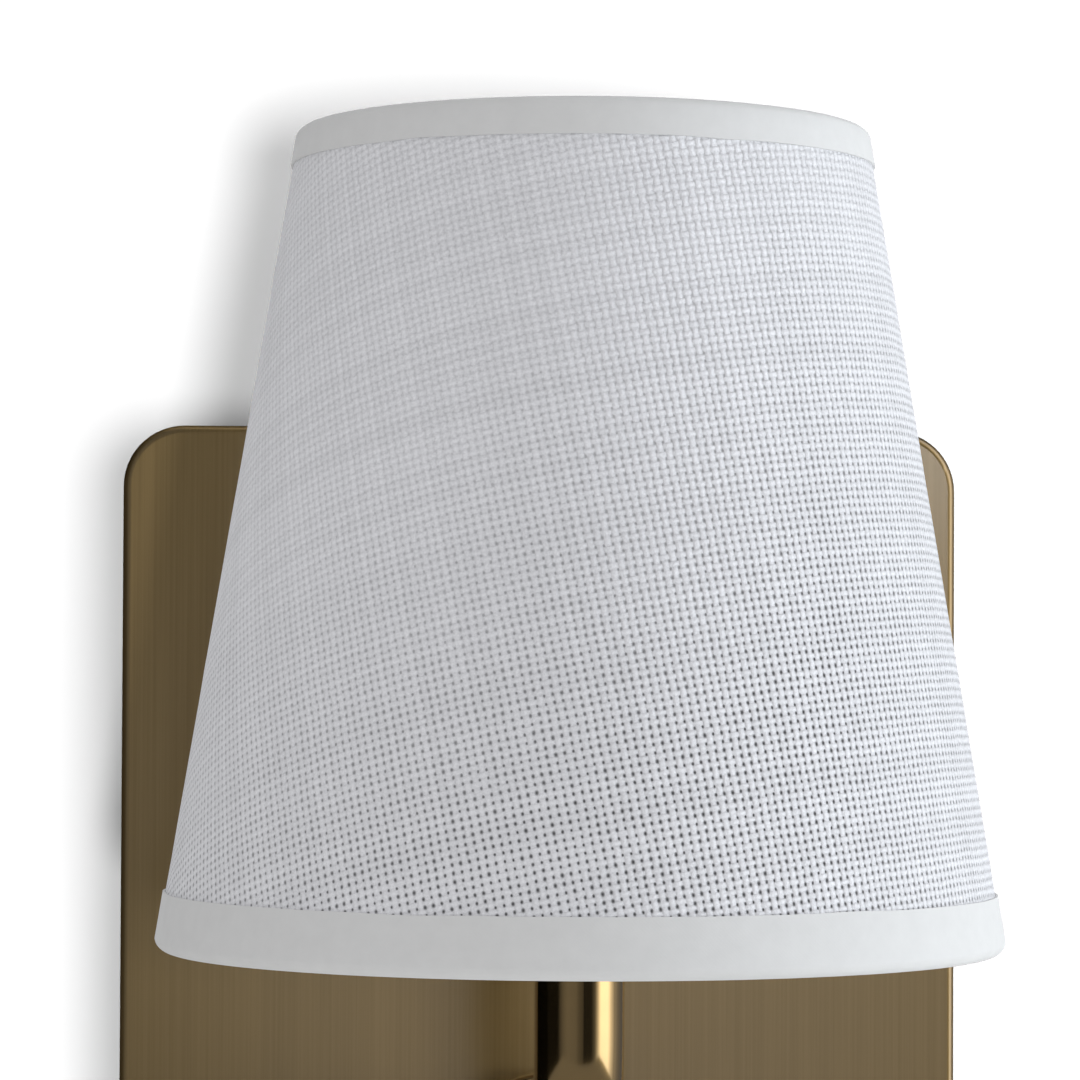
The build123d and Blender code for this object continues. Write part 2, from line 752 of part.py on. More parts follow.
with BuildPart() as bulb_glass:
    with BuildSketch(upright_plane(bulb_glass_base_z)):
        with BuildLine():
            add(glass_curve(0))
            add(glass_curve(bulb_glass_wall))
            Line((bulb_neck_radius, 0), (bulb_neck_radius - bulb_glass_wall, 0))
            Line((0, bulb_glass_height), (0, bulb_glass_height - bulb_glass_wall))
        make_face()
    revolve(axis=shade_axis)
finish(bulb_glass, "bulb_glass")

stem_foot = bulb_neck_radius - bulb_glass_wall - lay_gap
with BuildPart() as bulb_stem:
    with BuildSketch(upright_plane(bulb_glass_base_z)):
        with BuildLine():
            Polyline((0, bulb_stem_height), (0, 0), (stem_foot, 0), (stem_foot, bulb_glass_wall))
            Spline(
                (stem_foot, bulb_glass_wall),
                (bulb_stem_waist / 2, bulb_stem_height / 2),
                (bulb_stem_waist / 2, bulb_stem_height),
                tangents=((-1, 0), (0, 1)),
            )
            Line((bulb_stem_waist / 2, bulb_stem_height), (0, bulb_stem_height))
        make_face()
    revolve(axis=shade_axis)
finish(bulb_stem, "bulb_stem")

foot_disc_z = bulb_stem_height + lay_gap
filament_foot_z = foot_disc_z + filament_disc_thickness + lift_gap
filament_lean = atan2(filament_foot_radius - filament_head_radius, filament_length)
head_disc_z = filament_foot_z + filament_length * cos(filament_lean) + lift_gap
foot_disc_radius = filament_foot_radius + filament_disc_margin
head_disc_radius = filament_head_radius + filament_disc_margin
with BuildPart() as filament_mount:
    with BuildSketch(upright_plane(bulb_glass_base_z)):
        with BuildLine():
            Polyline(
                (0, foot_disc_z),
                (foot_disc_radius, foot_disc_z),
                (foot_disc_radius, foot_disc_z + filament_disc_thickness),
                (mount_rod_diameter / 2, foot_disc_z + filament_disc_thickness),
                (mount_rod_diameter / 2, head_disc_z),
                (head_disc_radius, head_disc_z),
                (head_disc_radius, head_disc_z + filament_disc_thickness),
                (0, head_disc_z + filament_disc_thickness),
                close=True,
            )
        make_face()
    revolve(axis=shade_axis)
finish(filament_mount, "filament_mount")

with BuildPart() as led_filaments:
    for index in range(filament_count):
        turn = filament_turn + index * 360 / filament_count
        filament_plane = upright_plane(bulb_glass_base_z, turn)
        foot = filament_plane.from_local_coords((filament_foot_radius, filament_foot_z, 0))
        head = filament_plane.from_local_coords((filament_head_radius, filament_foot_z + filament_length, 0))
        with BuildSketch(Plane(origin=foot, z_dir=head - foot)):
            Circle(filament_diameter / 2)
        extrude(amount=filament_length)
finish(led_filaments, "led_filaments")

# ==== Terminal block with its sleeves and screws ====
pole_places = [(index - (pole_count - 1) / 2) * pole_pitch for index in range(pole_count)]
block_span = (pole_count - 1) * pole_pitch + pole_width
block_plane = Plane(origin=(0, -bracket_thickness - lay_gap, block_z), x_dir=(1, 0, 0), z_dir=(0, -1, 0))
sleeve_plane = Plane(origin=(0, sleeve_y, block_z), x_dir=(1, 0, 0), z_dir=(0, 0, 1))
with BuildPart() as terminal_block:
    with BuildSketch(block_plane):
        Rectangle(block_span, block_length - pole_width)
    extrude(amount=block_web_height)
    with BuildSketch(block_plane):
        with Locations(*[(place, 0) for place in pole_places]):
            RectangleRounded(pole_width, block_length, pole_corner_radius)
    extrude(amount=block_height, taper=pole_taper)
    with BuildSketch(block_plane):
        with Locations((pole_pitch / 2, 0)):
            Circle(block_screw_diameter / 2 + loose_gap)
    extrude(amount=block_height, mode=Mode.SUBTRACT)
    with BuildSketch(block_plane.offset(block_web_height)):
        with Locations((pole_pitch / 2, 0)):
            Circle(block_screw_head_diameter / 2 + loose_gap)
    extrude(amount=block_height, mode=Mode.SUBTRACT)
    with BuildSketch(sleeve_plane):
        with Locations(*[(place, 0) for place in pole_places]):
            Circle(sleeve_diameter / 2 + lay_gap)
    extrude(amount=block_length, both=True, mode=Mode.SUBTRACT)
    with BuildSketch(block_plane.offset(block_axis_height)):
        for place in pole_places:
            with Locations((place, 0)):
                with GridLocations(0, clamp_screw_spacing, 1, 2):
                    Circle(clamp_screw_diameter / 2 + loose_gap)
    extrude(amount=block_height, mode=Mode.SUBTRACT)
finish(terminal_block, "terminal_block")

with BuildPart() as terminal_sleeves:
    with BuildSketch(sleeve_plane):
        with Locations(*[(place, 0) for place in pole_places]):
            Circle(sleeve_diameter / 2)
            Circle(sleeve_bore / 2, mode=Mode.SUBTRACT)
    extrude(amount=sleeve_length / 2, both=True)
    with BuildSketch(block_plane.offset(block_axis_height)):
        for place in pole_places:
            with Locations((place, 0)):
                with GridLocations(0, clamp_screw_spacing, 1, 2):
                    Circle(clamp_screw_diameter / 2 + lay_gap)
    extrude(amount=block_height, mode=Mode.SUBTRACT)
finish(terminal_sleeves, "terminal_sleeves")

clamp_screw_base = block_axis_height + lead_diameter / 2 + loose_gap
with BuildPart() as terminal_screws:
    with BuildSketch(block_plane.offset(clamp_screw_base)):
        for place in pole_places:
            with Locations((place, 0)):
                with GridLocations(0, clamp_screw_spacing, 1, 2):
                    Circle(clamp_screw_diameter / 2)
    extrude(amount=block_height - clamp_screw_sink - clamp_screw_base)
    with BuildSketch(block_plane.offset(block_height - clamp_screw_sink)):
        for place in pole_places:
            with Locations((place, 0)):
                with GridLocations(0, clamp_screw_spacing, 1, 2):
                    Rectangle(2 * clamp_screw_diameter, fine_slot_width)
    extrude(amount=-screw_slot_width, mode=Mode.SUBTRACT)
finish(terminal_screws, "terminal_screws")

with BuildPart() as block_screw:
    with BuildSketch(block_plane.offset(block_web_height + lay_gap)):
        with Locations((pole_pitch / 2, 0)):
            Circle(block_screw_head_diameter / 2)
    extrude(amount=block_screw_head_height)
    with BuildSketch(block_plane.offset(block_web_height + lay_gap + block_screw_head_height)):
        with Locations((pole_pitch / 2, 0)):
            Rectangle(block_screw_head_diameter, fine_slot_width)
    extrude(amount=-block_screw_head_height / 2, mode=Mode.SUBTRACT)
    with BuildSketch(block_plane.offset(block_web_height + lay_gap)):
        with Locations((pole_pitch / 2, 0)):
            Circle(block_screw_diameter / 2)
    extrude(amount=-(block_web_height + bracket_thickness - screw_tip_gap))
finish(block_screw, "block_screw")

# ==== Earth screw, ring terminal and the three leads ====
tag_plane = Plane(
    origin=(earth_screw_offset, -bracket_thickness - lay_gap, 0), x_dir=(1, 0, 0), z_dir=(0, -1, 0)
)
tag_top = earth_tag_diameter / 2 + earth_barrel_length
barrel_y = -(bracket_thickness + 2 * lay_gap + earth_barrel_diameter / 2)
barrel_plane = Plane(
    origin=(earth_screw_offset, barrel_y, earth_tag_diameter / 2), x_dir=(1, 0, 0), z_dir=(0, 0, 1)
)
with BuildPart() as earth_tag:
    with BuildSketch(tag_plane):
        Circle(earth_tag_diameter / 2)
        with Locations((0, earth_tag_diameter / 2)):
            Rectangle(earth_barrel_diameter, earth_tag_thickness * 2)
        Circle(screw_diameter / 2 + loose_gap, mode=Mode.SUBTRACT)
    extrude(amount=earth_tag_thickness)
    with BuildSketch(barrel_plane):
        Circle(earth_barrel_diameter / 2)
        Circle(lead_diameter / 2 + lay_gap, mode=Mode.SUBTRACT)
    extrude(amount=earth_barrel_length)
finish(earth_tag, "earth_tag")

earth_screw_length = bracket_thickness + earth_tag_thickness + 2 * lay_gap - screw_tip_gap
with BuildPart() as earth_screw:
    with BuildSketch(tag_plane.offset(earth_tag_thickness + lay_gap)):
        Circle(screw_head_diameter / 2)
    extrude(amount=screw_head_height)
    fillet(earth_screw.faces().sort_by(Axis.Y)[0].edges(), earth_edge_radius)
    with BuildSketch(tag_plane.offset(earth_tag_thickness + lay_gap + screw_head_height)):
        Rectangle(screw_head_diameter, screw_slot_width)
        Rectangle(screw_slot_width, screw_cross_length)
    extrude(amount=-screw_head_height / 2, mode=Mode.SUBTRACT)
    with BuildSketch(tag_plane.offset(earth_tag_thickness + lay_gap)):
        Circle(screw_diameter / 2)
    extrude(amount=-earth_screw_length)
finish(earth_screw, "earth_screw")


def lead(route, radii):
    """Insulated lead along straight runs joined by arcs."""
    with BuildPart() as strand:
        with BuildLine() as centre_line:
            FilletPolyline(*route, radius=radii)
        with BuildSketch(Plane(origin=centre_line.line @ 0, z_dir=centre_line.line % 0)):
            Circle(lead_diameter / 2)
        sweep(path=centre_line.line)
    length = centre_line.wires()[0].length
    share = strand.part.volume / (pi * lead_diameter**2 / 4 * length)
    print("lead", round(length, 1), "mm long, volume over section times length", round(share, 4))
    return strand


block_foot_z = block_z - block_length / 2
sleeve_foot_z = block_z - sleeve_length / 2
lead_top_z = insert_base_z + terminal_hole_depth - loose_gap
nipple_exit_z = arm_top_z + holder_neck_height + nipple_spare


def arm_lead_route(pole, side):
    """Route of a lead from its pole of the block through the arm to the lampholder's core."""
    x = side * lead_pitch / 2
    return [
        (pole_places[pole], sleeve_y, sleeve_foot_z + lead_entry),
        (pole_places[pole], sleeve_y, block_foot_z - lead_drops[pole]),
        (x, lead_drop_y, arm_z + lead_gather),
        (x, lead_drop_y, arm_z),
        (x, shade_axis_y, arm_z),
        (x, shade_axis_y, nipple_exit_z + lead_diameter / 2),
        (side * terminal_offset, shade_axis_y, insert_base_z - lead_diameter / 2),
        (side * terminal_offset, shade_axis_y, lead_top_z),
    ]


arm_lead_radii = [
    lead_sweep_radius,
    lead_sweep_radius,
    lead_turn_radius,
    arm_bend_radius,
    lead_spread_radius,
    lead_spread_radius,
]
finish(lead(arm_lead_route(0, -1), arm_lead_radii), "live_lead")
finish(lead(arm_lead_route(1, 1), arm_lead_radii), "neutral_lead")

earth_route = [
    (pole_places[2], sleeve_y, sleeve_foot_z + lead_entry),
    (pole_places[2], sleeve_y, block_foot_z - earth_drop),
    (earth_screw_offset, barrel_y, tag_top + lead_gather / 3),
    (earth_screw_offset, barrel_y, tag_top - lead_entry),
]
finish(lead(earth_route, [earth_turn_radius, earth_turn_radius]), "earth_lead")

# ==== Export ====
os.makedirs("parts", exist_ok=True)
for piece in pieces:
    export_step(piece, f"parts/{piece.label}.step")
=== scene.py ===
from math import acos, atan2, cos, hypot, pi, radians, sin, tau

import bmesh
import bpy
from mathutils import Matrix, Vector


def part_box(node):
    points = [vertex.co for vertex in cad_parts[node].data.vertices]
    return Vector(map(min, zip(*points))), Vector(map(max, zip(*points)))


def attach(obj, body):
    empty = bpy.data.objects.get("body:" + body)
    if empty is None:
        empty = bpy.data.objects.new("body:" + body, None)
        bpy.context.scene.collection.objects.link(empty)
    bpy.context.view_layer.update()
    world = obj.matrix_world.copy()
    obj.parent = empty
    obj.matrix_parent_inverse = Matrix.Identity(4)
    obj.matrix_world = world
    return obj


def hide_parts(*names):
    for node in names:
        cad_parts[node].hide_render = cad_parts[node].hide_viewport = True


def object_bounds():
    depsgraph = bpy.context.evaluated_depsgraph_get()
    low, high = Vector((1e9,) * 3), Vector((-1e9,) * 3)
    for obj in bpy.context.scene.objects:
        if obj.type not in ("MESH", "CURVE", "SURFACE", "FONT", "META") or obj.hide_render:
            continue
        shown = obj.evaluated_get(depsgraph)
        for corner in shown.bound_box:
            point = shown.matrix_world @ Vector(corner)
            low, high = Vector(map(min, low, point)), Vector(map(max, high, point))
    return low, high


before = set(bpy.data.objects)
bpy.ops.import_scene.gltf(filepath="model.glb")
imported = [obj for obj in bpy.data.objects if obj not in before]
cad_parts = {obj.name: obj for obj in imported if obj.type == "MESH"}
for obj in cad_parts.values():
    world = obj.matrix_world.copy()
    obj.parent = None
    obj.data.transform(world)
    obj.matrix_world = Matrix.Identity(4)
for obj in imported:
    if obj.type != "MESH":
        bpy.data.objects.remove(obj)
cad_low, cad_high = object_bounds()

bl_info = {
    "name": "Fabric shade wall light",
    "version": (1, 0, 0),
    "blender": (4, 5, 0),
    "location": "3D View > Sidebar > Wall light",
    "description": "Dresses a wall light: woven shade, brass plate and arm, lampholder, bulb and wiring",
    "category": "Object",
}

# Places that come from the solids, in metres.
cover_low, cover_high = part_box("shade_cover")
shade_x = (cover_low.x + cover_high.x) / 2
shade_y = (cover_low.y + cover_high.y) / 2
shade_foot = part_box("bottom_trim")[0].z
shade_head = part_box("top_trim")[1].z
skirt_low, skirt_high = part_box("holder_skirt")
cap_low, cap_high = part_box("bulb_cap")
shell_low, shell_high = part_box("screw_shell")


# ---- Sizes and colours that a user would change ----


def amount(name, description, default, **kind):
    """A property for one number."""
    return bpy.props.FloatProperty(name=name, description=description, default=default, **kind)


def length(name, description, default):
    """A property for a length in metres."""
    return amount(name, description, default, unit="LENGTH")


def angle(name, description, default):
    """A property for an angle in radians."""
    return amount(name, description, default, subtype="ANGLE")


def hex_colour(name, default):
    """A property for a colour."""
    return bpy.props.StringProperty(name=name, description="sRGB hex", default=default)


class ShadeSettings(bpy.types.PropertyGroup):
    """Sizes and colours of the shade."""

    bottom_diameter: length("Bottom diameter", "Over the tape", 0.150)
    top_diameter: length("Top diameter", "Over the tape", 0.102)
    edge_roll: length("Edge roll", "Radius of the tape round the ring wire", 0.00175)
    cloth_thickness: length("Cloth", "Thickness of the woven cloth", 0.0007)
    lining_thickness: length("Lining", "Thickness of the stiff lining", 0.0004)
    tape_thickness: length("Tape", "Thickness of the edge tape", 0.0004)
    wire_diameter: length("Ring wire", "Diameter of the wire in each edge", 0.0025)
    bottom_tape: length("Bottom tape", "How far it shows on the cloth", 0.010)
    top_tape: length("Top tape", "How far it shows on the cloth", 0.007)
    lap: length("Lap", "Width of the glued seam at the back", 0.010)
    column_pitch: length("Column pitch", "From one upright thread to the next", 0.00144)
    row_pitch: length("Row pitch", "From one level thread to the next", 0.00139)
    grain: angle("Grain", "Turn of the threads at the shade's front", radians(10.8))
    cloth_colour: hex_colour("Cloth colour", "#EFEFF2")
    tape_colour: hex_colour("Tape colour", "#E5E5E4")
    lining_colour: hex_colour("Lining colour", "#F1F1EE")


class MetalSettings(bpy.types.PropertyGroup):
    """Colours of the metalwork."""

    brass_colour: hex_colour("Antique brass", "#A1885A")
    tube_colour: hex_colour("Polished brass", "#AC8F5C")
    edge_colour: hex_colour("Brass in its brush lines", "#836E47")
    zinc_colour: hex_colour("Zinc plate", "#C6C9CC")
    bare_colour: hex_colour("Bare brass", "#DDB86A")
    brush_pitch: length("Brush lines", "Drawn spacing of the brush lines", 0.0006)


class HolderSettings(bpy.types.PropertyGroup):
    """Sizes of the lampholder and of the bulb's cap."""

    flange_thickness: length("Flange", "Thickness of the flange", 0.003)
    skirt_diameter: length("Skirt", "Over its thread", 0.0396)
    skirt_bore: length("Skirt bore", "Inside", 0.035)
    lip_bore: length("Lip bore", "At the mouth", 0.029)
    lip: length("Lip", "Thickness of the mouth", 0.002)
    skirt_pitch: length("Skirt thread", "Rise of one turn", 0.003)
    cap_pitch: length("Cap thread", "Rise of one turn of the bulb's cap", 0.00363)
    cap_wall: length("Cap wall", "Sheet of the bulb's cap", 0.0005)
    shell_wall: length("Shell wall", "Sheet of the screw shell", 0.0004)


class StageSettings(bpy.types.PropertyGroup):
    """Camera and light."""

    lens: amount("Lens", "Focal length in mm on a 36 mm sensor", 140.62, unit="CAMERA")
    camera_place: bpy.props.FloatVectorProperty(
        name="Camera place",
        description="In the light's own frame",
        default=(-0.06768, -0.85269, 0.04528),
        unit="LENGTH",
    )
    camera_yaw: angle("Yaw", "Turn to the right", 0.0807)
    camera_pitch: angle("Pitch", "Look upwards", 0.0271)
    camera_roll: angle("Roll", "Lean of the camera", 0.0044)
    key_power: amount("Key", "Side lamp in watts", 7.2, unit="POWER")
    fill_power: amount("Fill", "Front lamp in watts", 1.0, unit="POWER")
    rear_power: amount("Rear", "Lamp behind the wall in watts", 3.0, unit="POWER")
    plate_light: amount("Plate light", "Sun that only the brushed plate mirrors", 0.03)
    lacquer_light: amount("Lacquer light", "Sun that shines in the plate's lacquer", 0.038)
    lamp_colour: bpy.props.FloatVectorProperty(
        name="Lamp colour",
        description="Slightly cool light of the lamps",
        default=(0.87, 0.94, 1.0),
        subtype="COLOR",
    )
    ambient: amount("Ambient", "Level of the surroundings", 0.615)
    wall_light: amount("Wall light", "Each of the two suns that light only the wall", 13.5)


# ---- Colour and node helpers ----


def linear(colour):
    """Linear RGBA of an sRGB hex colour."""
    parts = [int(colour[i : i + 2], 16) / 255 for i in (1, 3, 5)]
    return tuple(c / 12.92 if c <= 0.04045 else ((c + 0.055) / 1.055) ** 2.4 for c in parts) + (1.0,)


def add(tree, kind, inputs=None, **settings):
    """Adds a node with its settings, and fills or links its inputs."""
    node = tree.nodes.new("ShaderNode" + kind)
    for key, value in settings.items():
        setattr(node, key, value)
    for key, value in (inputs or {}).items():
        if isinstance(value, bpy.types.Node):
            value = value.outputs[0]
        if isinstance(value, bpy.types.NodeSocket):
            tree.links.new(value, node.inputs[key])
        else:
            node.inputs[key].default_value = value
    return node


def new_material(name):
    """An empty node material and its tree."""
    material = bpy.data.materials.new(name)
    material.use_nodes = True
    material.node_tree.nodes.clear()
    return material, material.node_tree


def finished(material, look):
    """Closes a material with one Principled shader that has these values."""
    tree = material.node_tree
    add(tree, "OutputMaterial", {"Surface": add(tree, "BsdfPrincipled", look)})
    return material


def dress(material, *nodes):
    """Gives solids their finish."""
    for name in nodes:
        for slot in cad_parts[name].material_slots:
            slot.material = material


# ---- Finishes ----


def brushed_brass():
    """Antique brass sheet, brushed up and down and lacquered.

    The fine upright lines spread each reflection sideways, so the plate shows a broad soft sheen that
    changes slowly across it, with faint streaks and duller brass between them, and a painted shade on the
    rim.
    """
    metal = bpy.context.scene.metal_settings
    material, tree = new_material("antique_brass_brushed")
    place = add(tree, "TexCoord").outputs["Object"]
    # real brush lines are about 0.1 mm; they are drawn 0.6 mm apart so that they show
    across = 1 / metal.brush_pitch
    line_length, band_width, band_length = 160, 9, 700  # in spacings of the lines
    lines = add(tree, "Mapping", {"Vector": place, "Scale": (across, across, across / line_length)})
    fine = add(tree, "TexNoise", {"Vector": lines, "Scale": 1.0, "Detail": 3.0, "Roughness": 0.65})
    band_scale = (across / band_width, across / band_width, across / band_length)
    bands = add(tree, "Mapping", {"Vector": place, "Scale": band_scale})
    broad = add(tree, "TexNoise", {"Vector": bands, "Scale": 1.0, "Detail": 2.0})
    streak = add(tree, "Math", {0: fine.outputs["Fac"], 1: 0.8}, operation="MULTIPLY")
    streak = add(tree, "Math", {0: broad.outputs["Fac"], 1: 0.12, 2: streak}, operation="MULTIPLY_ADD")
    blend = add(tree, "MapRange", {0: streak, 1: 0.33, 2: 0.58, 3: 0.62, 4: 1.0})
    tone = add(
        tree,
        "Mix",
        {0: blend.outputs[0], 6: linear(metal.edge_colour), 7: linear(metal.brass_colour)},
        data_type="RGBA",
    )
    # a darker tone painted on the rolled rim, where the sheet turns away from the front: painted shade, with
    # rougher lacquer there
    rim_shade = linear("#4A3D28")
    facing = add(tree, "SeparateXYZ", {"Vector": add(tree, "NewGeometry").outputs["Normal"]})
    rim = add(tree, "MapRange", {0: facing.outputs["Y"], 1: -0.95, 2: -0.60, 3: 0.0, 4: 0.5})
    tone = add(tree, "Mix", {0: rim.outputs[0], 6: tone.outputs[2], 7: rim_shade}, data_type="RGBA")
    rough = add(tree, "MapRange", {0: streak, 1: 0.3, 2: 0.7, 3: 0.35, 4: 0.32})
    rough = add(tree, "Math", {0: rim.outputs[0], 1: 0.9, 2: rough.outputs[0]}, operation="MULTIPLY_ADD")
    line_depth = 0.00003
    bump = add(tree, "Bump", {"Strength": 0.12, "Distance": line_depth, "Height": fine.outputs["Fac"]})
    tangent = add(tree, "Tangent", direction_type="RADIAL", axis="Z")
    return finished(
        material,
        {
            "Base Color": tone.outputs[2],
            "Metallic": 1.0,
            "Roughness": rough,
            "Anisotropic": 0.75,
            "Tangent": tangent,
            "Normal": bump,
            "Coat Weight": 1.0,
            "Coat Roughness": 0.15,
        },
    )


def polished_brass():
    """Antique brass tube and turned parts, polished and lacquered.

    It mirrors the room in hard upright bands, black beside gold, with hair lines of the polishing mop.
    """
    metal = bpy.context.scene.metal_settings
    material, tree = new_material("antique_brass_polished")
    place = add(tree, "TexCoord").outputs["Object"]
    cloud = add(tree, "TexNoise", {"Vector": place, "Scale": 55.0, "Detail": 3.0})
    hair = add(tree, "Mapping", {"Vector": place, "Scale": (2600.0, 2600.0, 90.0)})
    scratch = add(tree, "TexNoise", {"Vector": hair, "Scale": 1.0, "Detail": 2.0})
    tarnish = add(tree, "MapRange", {0: cloud.outputs["Fac"], 1: 0.35, 2: 0.65, 3: 0.0, 4: 0.35})
    tone = add(
        tree,
        "Mix",
        {0: tarnish.outputs[0], 6: linear(metal.tube_colour), 7: linear(metal.edge_colour)},
        data_type="RGBA",
    )
    rough = add(tree, "MapRange", {0: cloud.outputs["Fac"], 1: 0.3, 2: 0.7, 3: 0.09, 4: 0.15})
    bump = add(tree, "Bump", {"Strength": 0.05, "Distance": 0.00001, "Height": scratch.outputs["Fac"]})
    return finished(
        material,
        {
            "Base Color": tone.outputs[2],
            "Metallic": 1.0,
            "Roughness": rough.outputs[0],
            "Normal": bump,
            "Coat Weight": 1.0,
            "Coat Roughness": 0.06,
        },
    )


def drifting_finish(name, light, dark, patch, gloss, grain, bump, shader):
    """A finish whose tone and gloss drift over patches, with finer marks as bump.

    patch sets the patches' noise, gloss is the roughness of the dullest and the shiniest patch, grain is
    marks a metre along each axis, bump is strength and depth, and shader holds the shader's own values.
    """
    material, tree = new_material(name)
    place = add(tree, "TexCoord").outputs["Object"]
    drift = add(tree, "TexNoise", {"Vector": place, **patch}).outputs["Fac"]
    marks = add(tree, "Mapping", {"Vector": place, "Scale": grain})
    marks = add(tree, "TexNoise", {"Vector": marks, "Scale": 1.0, "Detail": 2.0}).outputs["Fac"]
    tone = add(tree, "Mix", {0: drift, 6: linear(dark), 7: linear(light)}, data_type="RGBA")
    rough = add(tree, "MapRange", {0: drift, 1: 0.3, 2: 0.7, 3: gloss[0], 4: gloss[1]})
    relief = add(tree, "Bump", {"Strength": bump[0], "Distance": bump[1], "Height": marks})
    look = {"Base Color": tone.outputs[2], "Roughness": rough.outputs[0], "Normal": relief, **shader}
    return finished(material, look)


def plain_metal(name, light, dark, roughness, grain):
    """A metal whose tone and polish drift over patches of about 4 mm, with fine tool marks."""
    patch = {"Scale": 260.0, "Detail": 4.0, "Roughness": 0.6}
    gloss = (roughness * 1.25, roughness * 0.8)
    return drifting_finish(name, light, dark, patch, gloss, grain, (0.15, 0.00003), {"Metallic": 1.0})


def moulded(name, light, dark, roughness, texture, depth, specular=0.5, glow=0.0):
    """A moulded, glazed or extruded piece: its tone drifts slightly and a fine skin breaks the gloss."""
    patch = {"Scale": 90.0, "Detail": 3.0}
    gloss = (roughness * 1.2, roughness * 0.85)
    grain = (1 / texture, 1 / texture, 1 / texture)
    shader = {
        "Specular IOR Level": specular,
        "Subsurface Weight": glow,
        "Subsurface Radius": (0.002, 0.002, 0.0015),
    }
    return drifting_finish(name, light, dark, patch, gloss, grain, (0.2, depth), shader)


def earth_insulation():
    """Extruded PVC, green with a yellow stripe along each side of the lead."""
    material, tree = new_material("pvc_insulation_green_yellow")
    place = add(tree, "TexCoord").outputs["Object"]
    facing = add(tree, "SeparateXYZ", {"Vector": add(tree, "NewGeometry").outputs["Normal"]})
    side = add(tree, "Math", {0: facing.outputs["X"]}, operation="ABSOLUTE")
    stripe = add(tree, "MapRange", {0: side, 1: 0.62, 2: 0.72, 3: 0.0, 4: 1.0})
    skin = add(tree, "TexNoise", {"Vector": place, "Scale": 900.0, "Detail": 2.0})
    tone = add(
        tree,
        "Mix",
        {0: stripe.outputs[0], 6: linear("#3E8A2C"), 7: linear("#E3C51E")},
        data_type="RGBA",
    )
    bump = add(tree, "Bump", {"Strength": 0.15, "Distance": 0.00003, "Height": skin.outputs["Fac"]})
    return finished(material, {"Base Color": tone.outputs[2], "Roughness": 0.36, "Normal": bump})


def clear_glass():
    """Blown soda-lime glass of the bulb: clear, with faint ripples from blowing."""
    material, tree = new_material("soda_lime_glass_clear")
    place = add(tree, "TexCoord").outputs["Object"]
    ripple = add(tree, "TexNoise", {"Vector": place, "Scale": 70.0, "Detail": 2.0})
    bump = add(tree, "Bump", {"Strength": 0.08, "Distance": 0.0001, "Height": ripple.outputs["Fac"]})
    film = add(tree, "MapRange", {0: ripple.outputs["Fac"], 1: 0.3, 2: 0.7, 3: 0.0, 4: 0.03})
    return finished(
        material,
        {
            "Base Color": linear("#FAFCFC"),
            "Roughness": film.outputs[0],
            "IOR": 1.52,
            "Transmission Weight": 1.0,
            "Normal": bump,
        },
    )


